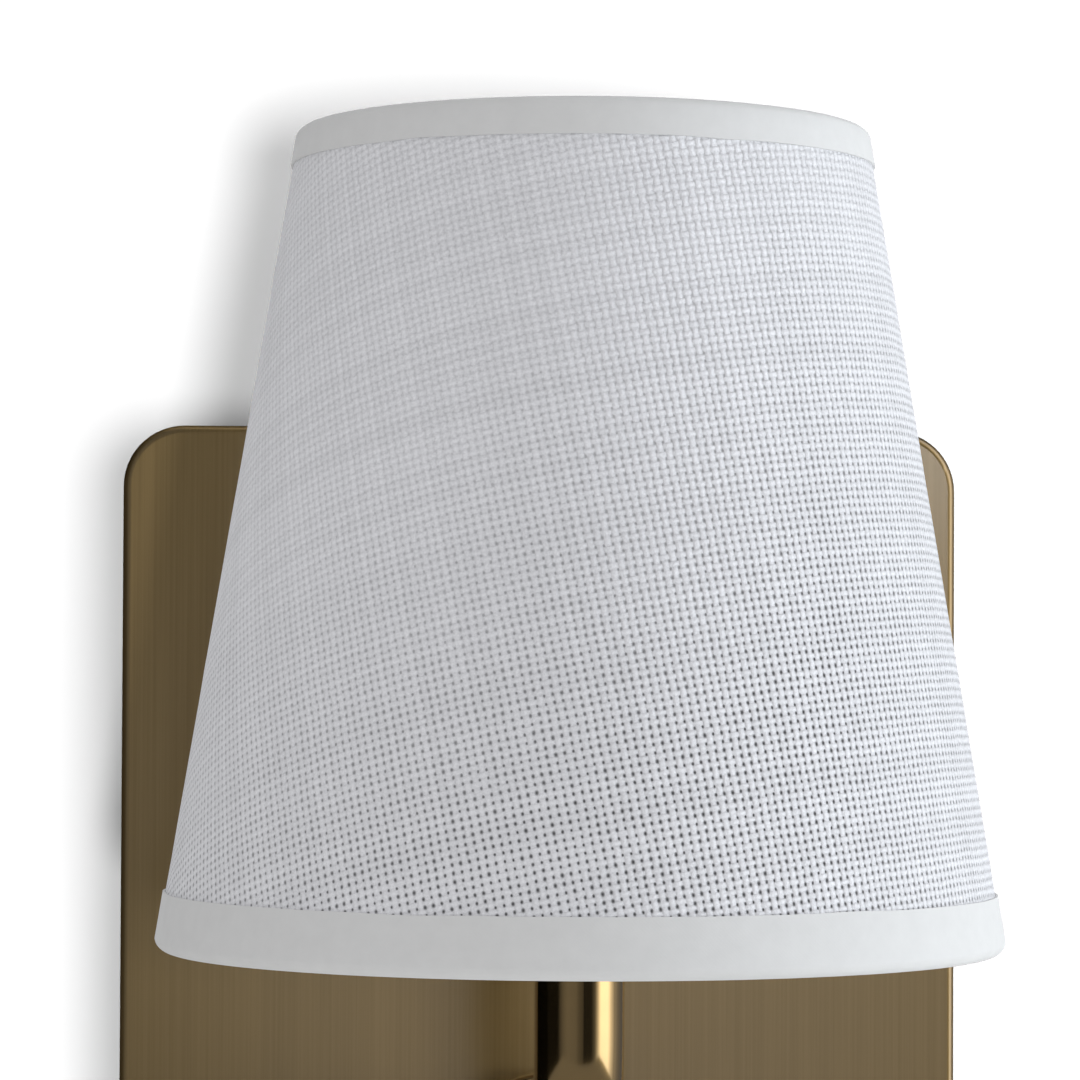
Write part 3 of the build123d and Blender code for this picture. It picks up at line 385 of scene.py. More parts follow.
def woven_cloth():
    """White polyester-linen yarn in an open plain weave, glued on the lining.

    Each yarn is a rounded crown where it passes over and dips where it passes under; where it sinks, and in
    the small square gaps between four yarns, the colour is painted darker as painted shade. Yarns differ a
    little in thickness and brightness.
    """
    shade = bpy.context.scene.shade_settings
    material, tree = new_material("yarn_plain_weave_white")
    cut = add(tree, "UVMap", uv_map="flat_cut")
    # repeats a metre of the yarns' wander, the patches of the gaps' painted shade, the yarn's specks and its
    # slubs
    wander_scale, patch_scale, speck_scale, slub_scale = 170.0, 28.0, 2300.0, 2500.0
    wander = 0.34  # in pitches, from one side to the other
    fall = 3.3  # of a yarn's round section, for each square of the distance from its crown
    dip = 0.34  # height of a yarn that passes under, beside its height on top
    gap_least, gap_most = 0.22, 0.38  # reach of a gap from its middle, in pitches
    slub_depth = 0.0005
    drift = add(tree, "TexNoise", {"Vector": cut, "Scale": wander_scale, "Detail": 2.0})
    drift = add(tree, "VectorMath", {0: drift.outputs["Color"], 1: (0.5, 0.5, 0.5)}, operation="SUBTRACT")
    threads = add(
        tree,
        "VectorMath",
        {0: cut, 1: (1 / shade.column_pitch, 1 / shade.row_pitch, 0.0)},
        operation="MULTIPLY",
    )
    # the yarns wander by up to a sixth of their pitch
    threads = add(
        tree, "VectorMath", {0: drift, 1: (wander, wander, 0.0), 2: threads}, operation="MULTIPLY_ADD"
    )
    half = add(tree, "VectorMath", {0: threads, 1: (0.5, 0.5, 0.0)}, operation="ADD")
    yarn = add(tree, "VectorMath", {0: half}, operation="FLOOR")
    off = add(tree, "VectorMath", {0: threads, 1: yarn}, operation="SUBTRACT")
    number = add(tree, "SeparateXYZ", {"Vector": yarn})
    lift_up = add(tree, "TexWhiteNoise", {"W": number.outputs["X"]}, noise_dimensions="1D")
    lift_over = add(
        tree,
        "TexWhiteNoise",
        {"W": add(tree, "Math", {0: number.outputs["Y"], 1: 0.37}, operation="ADD")},
        noise_dimensions="1D",
    )
    # round section of both yarns at this point
    square = add(tree, "VectorMath", {0: off, 1: off}, operation="MULTIPLY")
    dome = add(
        tree, "VectorMath", {0: square, 1: (-fall, -fall, 0.0), 2: (1.0, 1.0, 0.0)}, operation="MULTIPLY_ADD"
    )
    dome = add(tree, "SeparateXYZ", {"Vector": dome})
    # which yarn is on top: a wave along each one that swaps from yarn to yarn
    wave = add(tree, "VectorMath", {0: threads, "Scale": pi}, operation="SCALE")
    wave = add(tree, "SeparateXYZ", {"Vector": add(tree, "VectorMath", {0: wave}, operation="COSINE")})
    turn = add(tree, "VectorMath", {0: yarn, "Scale": pi}, operation="SCALE")
    turn = add(tree, "SeparateXYZ", {"Vector": add(tree, "VectorMath", {0: turn}, operation="COSINE")})
    column = add(tree, "Math", {0: wave.outputs["Y"], 1: turn.outputs["X"]}, operation="MULTIPLY")
    row = add(tree, "Math", {0: wave.outputs["X"], 1: turn.outputs["Y"]}, operation="MULTIPLY")
    column = add(tree, "MapRange", {0: column, 1: -1.0, 2: 1.0, 3: dip, 4: 1.0})
    row = add(tree, "MapRange", {0: row, 1: 1.0, 2: -1.0, 3: dip, 4: 1.0})
    column = add(tree, "Math", {0: dome.outputs["X"], 1: column}, operation="MULTIPLY")
    row = add(tree, "Math", {0: dome.outputs["Y"], 1: row}, operation="MULTIPLY")
    height = add(tree, "Math", {0: column, 1: row, 2: 0.12}, operation="SMOOTH_MAX")
    # gap between four yarns, taller than wide, each one open by its own amount
    cell = add(tree, "VectorMath", {0: threads}, operation="FLOOR")
    own = add(tree, "TexWhiteNoise", {"Vector": cell}, noise_dimensions="2D")
    corner = add(tree, "VectorMath", {0: off}, operation="ABSOLUTE")
    corner = add(tree, "VectorMath", {0: (0.5, 0.5, 0.0), 1: corner}, operation="SUBTRACT")
    corner = add(tree, "VectorMath", {0: corner, 1: (1.2, 0.86, 0.0)}, operation="MULTIPLY")
    reach = add(tree, "VectorMath", {0: corner}, operation="LENGTH").outputs["Value"]
    size = add(tree, "MapRange", {0: own.outputs["Value"], 3: gap_least, 4: gap_most})
    gap = add(
        tree,
        "MapRange",
        {0: reach, 1: size.outputs[0], 2: 0.05, 3: 0.0, 4: 1.0},
        interpolation_type="SMOOTHSTEP",
    )
    # the gaps' painted shade and their depth fade towards the left-hand top, in drifting patches
    climb = add(tree, "SeparateXYZ", {"Vector": add(tree, "TexCoord").outputs["Object"]})
    patch = add(tree, "TexNoise", {"Vector": cut, "Scale": patch_scale, "Detail": 3.0})
    fill = add(
        tree, "Math", {0: climb.outputs["X"], 1: -0.72, 2: climb.outputs["Z"]}, operation="MULTIPLY_ADD"
    )
    fill = add(tree, "Math", {0: patch.outputs["Fac"], 1: 0.05, 2: fill}, operation="MULTIPLY_ADD")
    glue = add(tree, "MapRange", {0: fill, 1: 0.045, 2: 0.130, 3: 1.0, 4: 0.04})
    gap = add(tree, "Math", {0: gap, 1: glue.outputs[0]}, operation="MULTIPLY")
    # the gaps' painted shade and their depth also drop to half towards the right-hand side, as painted light
    side = add(tree, "MapRange", {0: climb.outputs["X"], 1: 0.035, 2: 0.07, 3: 1.0, 4: 0.5})
    gap = add(tree, "Math", {0: gap, 1: side.outputs[0]}, operation="MULTIPLY")
    # painted shade: each yarn is darker where it sinks from its crown
    lit = add(tree, "MapRange", {0: height, 1: 0.15, 2: 0.9, 3: 0.80, 4: 1.0})
    lit = add(tree, "Math", {0: lift_up.outputs[0], 1: 0.05, 2: lit.outputs[0]}, operation="MULTIPLY_ADD")
    lit = add(tree, "Math", {0: lift_over.outputs[0], 1: 0.05, 2: lit}, operation="MULTIPLY_ADD")
    speck = add(tree, "TexNoise", {"Vector": cut, "Scale": speck_scale, "Detail": 2.0, "Roughness": 0.6})
    lit = add(tree, "Math", {0: speck.outputs["Fac"], 1: 0.50, 2: lit}, operation="MULTIPLY_ADD")
    lit = add(tree, "Math", {0: lit, 1: -0.27}, operation="ADD")
    # painted shade in the gaps between four yarns
    dark = add(tree, "Math", {0: gap, 1: -0.86, 2: 1.0}, operation="MULTIPLY_ADD")
    level = add(tree, "Math", {0: lit, 1: dark}, operation="MULTIPLY")
    tone = add(
        tree,
        "Mix",
        {0: 1.0, 6: linear(shade.cloth_colour), 7: level},
        data_type="RGBA",
        blend_type="MULTIPLY",
    )
    # slubs of the spun yarn, 0.4 mm long, and the glue that flattens them on the left
    slub = add(tree, "TexNoise", {"Vector": cut, "Scale": slub_scale, "Detail": 3.0, "Roughness": 0.6})
    relief = add(tree, "Math", {0: slub.outputs["Fac"], 1: 0.45, 2: height}, operation="MULTIPLY_ADD")
    relief = add(tree, "Math", {0: gap, 1: -0.5, 2: relief}, operation="MULTIPLY_ADD")
    crisp = add(tree, "MapRange", {0: climb.outputs["X"], 1: -0.06, 2: 0.04, 3: 0.5, 4: 1.0})
    bump = add(tree, "Bump", {"Strength": crisp.outputs[0], "Distance": slub_depth, "Height": relief})
    return finished(
        material,
        {
            "Base Color": tone.outputs[2],
            "Roughness": 0.92,
            "Specular IOR Level": 0.25,
            "Sheen Weight": 0.15,
            "Sheen Roughness": 0.5,
            "Normal": bump,
        },
    )


def tape_cloth():
    """White cotton tape in a fine close weave, folded over the edge: smoother and a little softer than
    the shade's cloth, with faint rows of its weave and glue pulling it into slight dimples."""
    shade = bpy.context.scene.shade_settings
    material, tree = new_material("cotton_tape_white")
    run = add(tree, "UVMap", uv_map="run")
    thread_spacing, dimple_depth = 0.00035, 0.00012
    rows = add(tree, "VectorMath", {0: run, "Scale": pi / thread_spacing}, operation="SCALE")
    rows = add(tree, "SeparateXYZ", {"Vector": add(tree, "VectorMath", {0: rows}, operation="SINE")})
    weave = add(tree, "Math", {0: rows.outputs["X"], 1: rows.outputs["Y"]}, operation="MULTIPLY")
    dimple = add(tree, "TexNoise", {"Vector": run, "Scale": 260.0, "Detail": 3.0, "Roughness": 0.6})
    relief = add(tree, "Math", {0: weave, 1: 0.06, 2: dimple.outputs["Fac"]}, operation="MULTIPLY_ADD")
    tone = add(
        tree,
        "Mix",
        {0: dimple.outputs["Fac"], 6: linear("#DBDBDA"), 7: linear(shade.tape_colour)},
        data_type="RGBA",
    )
    bump = add(tree, "Bump", {"Strength": 0.35, "Distance": dimple_depth, "Height": relief})
    return finished(
        material,
        {
            "Base Color": tone.outputs[2],
            "Roughness": 0.88,
            "Specular IOR Level": 0.3,
            "Sheen Weight": 0.15,
            "Sheen Roughness": 0.5,
            "Normal": bump,
        },
    )


# ---- Shapes ----


def build(name, turned, body, replaces, material, uv_name="run"):
    """Makes a smooth piece with sharp creases from what lathe gives, and puts it in place of a solid."""
    points, faces, uvs = turned
    mesh = bpy.data.meshes.new(name)
    mesh.from_pydata(points, [], faces)
    layer = mesh.uv_layers.new(name=uv_name)
    layer.data.foreach_set("uv", [value for pair in uvs for value in pair])
    shape = bmesh.new()
    shape.from_mesh(mesh)
    bmesh.ops.recalc_face_normals(shape, faces=shape.faces)
    crease = radians(32)
    for face in shape.faces:
        face.smooth = True
    for edge in shape.edges:
        if len(edge.link_faces) == 2 and edge.calc_face_angle() > crease:
            edge.smooth = False
    shape.to_mesh(mesh)
    shape.free()
    piece = bpy.data.objects.new(name, mesh)
    bpy.context.scene.collection.objects.link(piece)
    mesh.materials.append(material)
    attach(piece, body)
    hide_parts(replaces)
    return piece


def lathe(section, steps, shift=None, flat=None):
    """Turns a closed outline of (radius, height) round the shade's axis, starting towards the wall.

    shift moves a point by its turn and its index, and flat gives its place in the flat cut.
    Returns points, faces and one UV pair for each face corner.
    """
    count = len(section)
    spans = [hypot(b[0] - a[0], b[1] - a[1]) for a, b in zip(section, section[1:])]
    run = [sum(spans[:i]) for i in range(count)] + [sum(spans) + 0.001]
    reach = max(radius for radius, _ in section)
    turns = [tau * step / steps for step in range(steps + 1)]
    points = []
    for turn in turns[:-1]:
        for index, (radius, height) in enumerate(section):
            if shift:
                radius, height = shift(turn, index, radius, height)
            points.append((shade_x + radius * sin(turn), shade_y + radius * cos(turn), height))
    faces, uvs = [], []
    for step in range(steps):
        for index in range(count):
            ahead = (step + 1) % steps
            follow = (index + 1) % count
            faces.append(
                (
                    step * count + index,
                    ahead * count + index,
                    ahead * count + follow,
                    step * count + follow,
                )
            )
            for turn, place, row in (
                (turns[step], index, run[index]),
                (turns[step + 1], index, run[index]),
                (turns[step + 1], follow, run[index + 1]),
                (turns[step], follow, run[index + 1]),
            ):
                uvs.append(flat(turn, section[place]) if flat else (turn * reach, row))
    return points, faces, uvs


def arc(start, middle, end, steps):
    """Points on the circle through three points, from start to end."""
    (ax, ay), (bx, by), (cx, cy) = start, middle, end
    twice = 2 * (ax * (by - cy) + bx * (cy - ay) + cx * (ay - by))
    a, b, c = ax * ax + ay * ay, bx * bx + by * by, cx * cx + cy * cy
    x = (a * (by - cy) + b * (cy - ay) + c * (ay - by)) / twice
    y = (a * (cx - bx) + b * (ax - cx) + c * (bx - ax)) / twice
    radius = hypot(ax - x, ay - y)
    first = atan2(ay - y, ax - x)
    through = (atan2(by - y, bx - x) - first) % tau
    whole = (atan2(cy - y, cx - x) - first) % tau
    if through > whole:
        whole -= tau
    return [
        (x + radius * cos(first + whole * i / steps), y + radius * sin(first + whole * i / steps))
        for i in range(steps + 1)
    ]


class ShadeWall:
    """The shade's wall in section, as it is in the solids: along it from the bottom, and out of it."""

    glue = 0.00005
    leg_start, leg_end = 0.0045, 0.0075  # of a tape's inner leg on the lining, from the edge

    def __init__(self):
        shade = bpy.context.scene.shade_settings
        self.roll = shade.edge_roll
        self.tape = shade.tape_thickness
        height = shade_head - shade_foot
        self.slope = atan2((shade.bottom_diameter - shade.top_diameter) / 2, height - 2 * self.roll)
        self.length = (height - 2 * self.roll * (1 - cos(self.slope))) / cos(self.slope)
        self.tape_out = self.glue + self.tape
        self.lining_out = -(shade.cloth_thickness + self.glue)
        self.inner_out = self.lining_out - shade.lining_thickness
        self.wire_out = self.inner_out - self.glue - shade.wire_diameter / 2
        self.base_radius = (
            shade.bottom_diameter / 2 + self.roll * sin(self.slope) - self.tape_out * cos(self.slope)
        )
        self.base_rise = self.roll - self.roll * cos(self.slope) - self.wire_out * sin(self.slope)

    def point(self, along, out):
        radius = self.base_radius - along * sin(self.slope) + out * cos(self.slope)
        return radius, shade_foot + self.base_rise + along * cos(self.slope) + out * sin(self.slope)

    def layer(self, inner, outer, rows):
        """Closed outline of one layer, with rows along its outer face."""
        first, last = self.roll, self.length - self.roll
        steps = [first + (last - first) * i / rows for i in range(rows + 1)]
        return [self.point(s, outer) for s in steps] + [self.point(s, inner) for s in reversed(steps)]

    def fold(self, depth, edge, inward, width):
        """One face of a folded tape: outer leg, round the wire, and the inner leg on the lining."""
        roll = self.roll - depth
        reach = self.tape_out - depth - self.wire_out
        foot_out = self.inner_out - self.glue - self.tape + depth
        away = self.leg_start - self.roll
        rise = foot_out - self.wire_out
        tangent = atan2(rise, away) - acos(roll / hypot(away, rise))

        def place(distance, out):
            return self.point(edge + inward * distance, out)

        knee = place(self.roll, self.tape_out - depth)
        middle = place(self.roll - roll * cos(pi / 4), self.wire_out + reach * sin(pi / 4))
        top = place(depth, self.wire_out)
        wrap = place(self.roll, self.wire_out - roll)
        leave = place(self.roll + roll * cos(tangent), self.wire_out + roll * sin(tangent))
        hem = place(width, self.tape_out - depth)
        near = place((width + self.roll) / 2, self.tape_out - depth)
        line = [hem, near] + arc(knee, middle, top, 7) + arc(top, wrap, leave, 9)[1:]
        return line + [place(self.leg_start, foot_out), place(self.leg_end, foot_out)]


def lap_lift(turn, radius, width, thickness):
    """How far a glued lap that starts towards the wall stands out."""
    distance = min(turn, tau - turn) * radius
    edge = 0.0006
    return thickness * max(0.0, min(1.0, (width / 2 - distance) / edge))


def waver(turn, seed):
    """A smooth wander round the shade, between about -1 and 1: five waves, each finer and lower."""
    return sum(sin(turn * (2 * k + 1) + seed * 1.7 * k) / (k + 1.5) for k in range(5)) / 1.4


def threaded_sleeve(radius, wall, low, high, pitch, depth):
    """Turns a thin sleeve with a rolled round thread that fades out at both ends."""
    steps, rows_per_turn, fade_rate = 96, 10, 1.2
    rows = max(6, round((high - low) / pitch * rows_per_turn))
    heights = [low + (high - low) * i / rows for i in range(rows + 1)]
    section = [(radius, h) for h in heights] + [(radius - wall, h) for h in reversed(heights)]

    def shift(turn, index, radius, height):
        fade = min(1.0, (height - low) / pitch * fade_rate, (high - height) / pitch * fade_rate)
        wave = 0.5 - 0.5 * cos(tau * (height / pitch - turn / tau))
        return radius - depth * fade * wave, height

    return lathe(section, steps, shift)


# ---- Operators ----


class WALLLIGHT_OT_shade_cloth(bpy.types.Operator):
    """Makes the woven cloth of the shade"""

    bl_idname = "walllight.shade_cloth"
    bl_label = "Shade cloth"

    def execute(self, context):
        shade = context.scene.shade_settings
        wall = ShadeWall()
        section = wall.layer(-shade.cloth_thickness, 0.0, 30)
        outer = len(section) // 2
        lean = sin(wall.slope)
        lap_height, uneven = shade.cloth_thickness * 0.8, 0.00004

        def lift(turn, index, radius, height):
            if index < outer:
                radius += lap_lift(turn, radius, shade.lap, lap_height)
                radius += uneven * waver(turn * 2 + height * 90, 3)
            return radius, height

        def flat(turn, place):
            across = (pi - turn) * lean
            reach = place[0] / lean
            u, v = reach * sin(across), -reach * cos(across)
            along, aside = cos(shade.grain), sin(shade.grain)
            return along * u + aside * v, -aside * u + along * v

        turned = lathe(section, 360, lift, flat)
        cloth = build(
            "shade_cloth", turned, "shade", "shade_cover", woven_cloth(), "flat_cut"
        )
        far = wall.point(wall.roll, 0)[0] / lean
        near = wall.point(wall.length - wall.roll, 0)[0] / lean
        return {"FINISHED"}


class WALLLIGHT_OT_shade_lining(bpy.types.Operator):
    """Makes the stiff lining inside the cloth"""

    bl_idname = "walllight.shade_lining"
    bl_label = "Shade lining"

    def execute(self, context):
        shade = context.scene.shade_settings
        wall = ShadeWall()
        section = wall.layer(wall.inner_out, wall.lining_out, 8)
        outer = len(section) // 2
        lap_height = shade.lining_thickness * 0.9

        def lift(turn, index, radius, height):
            if index >= outer:
                radius -= lap_lift(turn, radius, shade.lap, lap_height)
            return radius, height

        # calendered PVC film: an even satin white that lets some light through
        film = moulded("pvc_film_satin", shade.lining_colour, "#E9E9E4", 0.42, 0.0008, 0.00002, 0.4, 0.1)
        turned = lathe(section, 288, lift)
        build("shade_lining", turned, "shade", "shade_liner", film)
        return {"FINISHED"}


class WALLLIGHT_OT_shade_tapes(bpy.types.Operator):
    """Makes the folded tapes along both edges of the shade"""

    bl_idname = "walllight.shade_tapes"
    bl_label = "Shade tapes"

    def execute(self, context):
        shade = context.scene.shade_settings
        wall = ShadeWall()
        cloth = tape_cloth()
        lap, lap_height, lapped = 0.008, wall.tape * 0.9, 8  # lapped: points on the outer leg and its bend
        hem_wander, uneven = 0.00016, 0.00003
        made = []
        for name, edge, inward, width, seed in (
            ("bottom_trim", 0.0, 1, shade.bottom_tape, 2),
            ("top_trim", wall.length, -1, shade.top_tape, 5),
        ):
            face = wall.fold(0.0, edge, inward, width)
            back = wall.fold(wall.tape, edge, inward, width)
            section = face + back[::-1]
            hems = (0, len(section) - 1)

            def lay(turn, index, radius, height, hems=hems, inward=inward, seed=seed, count=len(face)):
                if index in hems:
                    height += inward * hem_wander * waver(turn * 3, seed)
                if index < lapped:
                    radius += lap_lift(turn, radius, lap, lap_height)
                if index < count:
                    radius += uneven * waver(turn * 7, seed + 4)
                return radius, height

            turned = lathe(section, 320, lay)
            made.append(build(name + "_tape", turned, "shade", name, cloth))
        for tape, width in zip(made, (shade.bottom_tape, shade.top_tape)):
            fold = wall.fold(wall.tape / 2, 0.0, 1, width)
            breadth = sum(hypot(b[0] - a[0], b[1] - a[1]) for a, b in zip(fold, fold[1:]))
        return {"FINISHED"}


class WALLLIGHT_OT_shade_frame(bpy.types.Operator):
    """Finishes the ring wires, the spider and the carrier ring"""

    bl_idname = "walllight.shade_frame"
    bl_label = "Shade frame"

    def execute(self, context):
        # epoxy powder coat on steel wire: even white with a fine orange peel
        coat = moulded("powder_coat_white", "#EFEFEC", "#E2E2DE", 0.38, 0.0012, 0.00005)
        dress(coat, "bottom_ring_wire", "top_ring_wire", "carrier_ring", "spider_arms")
        return {"FINISHED"}


class WALLLIGHT_OT_lampholder(bpy.types.Operator):
    """Makes the threaded skirt and screw shell, and finishes the rest of the lampholder"""

    bl_idname = "walllight.lampholder"
    bl_label = "Lampholder"

    def execute(self, context):
        holder = context.scene.holder_settings
        metal = context.scene.metal_settings
        # injection moulded PBT: glossy white with a faint flow of the melt
        white = moulded("pbt_moulded_white", "#EDEDE8", "#E1E1DA", 0.30, 0.0009, 0.00003)
        # glazed steatite: cream, glassy, slightly uneven
        glaze = moulded("steatite_glazed", "#E9E2D0", "#DCD3BE", 0.22, 0.0035, 0.00006, 0.6)
        # zinc-plated steel: cool grey
        zinc = plain_metal("steel_zinc_plated", metal.zinc_colour, "#A9ADB0", 0.34, (500.0, 500.0, 500.0))
        # bare brass: yellow, with drawing lines along the light's height
        bare = plain_metal("brass_bare", metal.bare_colour, "#B8924A", 0.28, (900.0, 900.0, 120.0))
        outer, bore = holder.skirt_diameter / 2, holder.skirt_bore / 2
        flange = (skirt_high.x - skirt_low.x) / 2
        seat = skirt_low.z + holder.flange_thickness
        mouth = skirt_high.z
        round_over, thread_fade, thread_depth, rows_per_turn = 0.0007, 0.0015, 0.0008, 10
        first, last = seat + 0.0003, mouth - round_over
        rows = round((last - first) / holder.skirt_pitch * rows_per_turn)
        heights = [first + (last - first) * i / rows for i in range(rows + 1)]
        section = [
            (bore, skirt_low.z),
            (flange - round_over, skirt_low.z),
            (flange, skirt_low.z + round_over),
            (flange, seat - round_over),
            (flange - round_over, seat),
            (outer, seat),
        ]
        base = len(section)
        section += [(outer, h) for h in heights]
        section += [
            (outer - round_over, mouth),
            (holder.lip_bore / 2, mouth),
            (holder.lip_bore / 2, mouth - holder.lip),
            (bore, mouth - holder.lip),
        ]

        def thread(turn, index, radius, height):
            if base <= index < base + len(heights):
                fade = min(1.0, (height - first) / thread_fade, (last - height) / thread_fade)
                ridge = abs(((height / holder.skirt_pitch - turn / tau) % 1.0) * 2 - 1)
                radius -= thread_depth * fade * min(1.0, max(0.0, ridge * 1.7 - 0.35))
            return radius, height

        turned = lathe(section, 128, thread)
        build("holder_skirt_threaded", turned, "fixture", "holder_skirt", white)
        # the shell stays plain, so that the bulb's cap lifts straight out of it
        radius, plain = (shell_high.x - shell_low.x) / 2, 0.0
        turned = threaded_sleeve(
            radius, holder.shell_wall, shell_low.z, shell_high.z, holder.cap_pitch, plain
        )
        build("screw_shell_rolled", turned, "fixture", "screw_shell", bare)
        dress(white, "holder_cap", "shade_ring")
        dress(glaze, "holder_insert")
        dress(zinc, "holder_terminals", "holder_nipple", "plate_nipple", "arm_washer")
        dress(bare, "centre_contact", "inlet_bush", "outlet_bush", "arm_nut")
        return {"FINISHED"}


class WALLLIGHT_OT_bulb(bpy.types.Operator):
    """Makes the bulb's rolled cap, and finishes its glass and filaments"""

    bl_idname = "walllight.bulb"
    bl_label = "Bulb"

    def execute(self, context):
        holder = context.scene.holder_settings
        # nickel-plated brass sheet: pale warm grey with a rolled thread
        nickel = plain_metal("nickel_plated_sheet", "#CFCBC4", "#AFAAA2", 0.24, (700.0, 700.0, 150.0))
        radius, thread_depth = (cap_high.x - cap_low.x) / 2, 0.0011
        turned = threaded_sleeve(
            radius, holder.cap_wall, cap_low.z, cap_high.z, holder.cap_pitch, thread_depth
        )
        build("bulb_cap_rolled", turned, "bulb", "bulb_cap", nickel)
        dress(clear_glass(), "bulb_glass", "bulb_stem")
        # tin-lead solder: a dull grey blob
        solder = plain_metal("solder_tinned", "#B9BABC", "#8E9092", 0.42, (400.0, 400.0, 400.0))
        dress(solder, "bulb_contact")
        # vitrite: black moulded glass
        dress(moulded("vitrite_black", "#131416", "#1E1F22", 0.16, 0.002, 0.00004, 0.6), "bulb_insulator")
        # drawn steel wire: bright grey with die lines along it
        wire = plain_metal("steel_drawn_wire", "#B4B6B8", "#8C8F92", 0.30, (900.0, 900.0, 90.0))
        dress(wire, "filament_mount")
        # silicone with phosphor: matt egg yellow
        silicone = moulded("phosphor_silicone", "#F0C24C", "#E0A93A", 0.62, 0.0004, 0.00005, 0.35, 0.2)
        dress(silicone, "led_filaments")
        return {"FINISHED"}


class WALLLIGHT_OT_metalwork(bpy.types.Operator):
    """Finishes the backplate, the arm and the wall bracket"""

    bl_idname = "walllight.metalwork"
    bl_label = "Metalwork"

    def execute(self, context):
        metal = context.scene.metal_settings
        dress(brushed_brass(), "backplate")
        dress(polished_brass(), "arm_tube", "arm_collar", "cover_screws")
        # zinc-plated steel sheet: cool grey with faint rolling lines
        grain = (700.0, 700.0, 60.0)
        sheet = plain_metal("steel_zinc_plated_sheet", metal.zinc_colour, "#AEB2B4", 0.36, grain)
        dress(sheet, "wall_bracket")
        return {"FINISHED"}


class WALLLIGHT_OT_wiring(bpy.types.Operator):
    """Finishes the terminal block, the earth terminal and the leads"""

    bl_idname = "walllight.wiring"
    bl_label = "Wiring"

    def execute(self, context):
        metal = context.scene.metal_settings
        # natural nylon: milky, lets a little light in
        nylon = moulded("nylon_natural", "#E8E8DF", "#DADACD", 0.45, 0.0006, 0.00004, 0.45, 0.25)
        dress(nylon, "terminal_block")
        # turned brass: yellow and bright, with tool rings
        bare = plain_metal("brass_turned", metal.bare_colour, "#B8924A", 0.25, (900.0, 900.0, 120.0))
        dress(bare, "terminal_sleeves", "earth_screw")
        # zinc-plated screws: cool grey, evenly fine
        grain = (500.0, 500.0, 500.0)
        zinc = plain_metal("steel_screws_zinc_plated", metal.zinc_colour, "#A9ADB0", 0.3, grain)
        dress(zinc, "terminal_screws", "block_screw")
        # tinned copper: soft warm grey
        dress(plain_metal("copper_tinned", "#C3BFB8", "#A49F96", 0.38, (600.0, 600.0, 600.0)), "earth_tag")
        # extruded PVC: soft gloss with a faint pull along the lead
        for name, light, dark, lead in (
            ("pvc_insulation_brown", "#5A331C", "#4B2916", "live_lead"),
            ("pvc_insulation_blue", "#2458A8", "#1C4A94", "neutral_lead"),
        ):
            dress(moulded(name, light, dark, 0.36, 0.0009, 0.00004), lead)
        dress(earth_insulation(), "earth_lead")
        return {"FINISHED"}


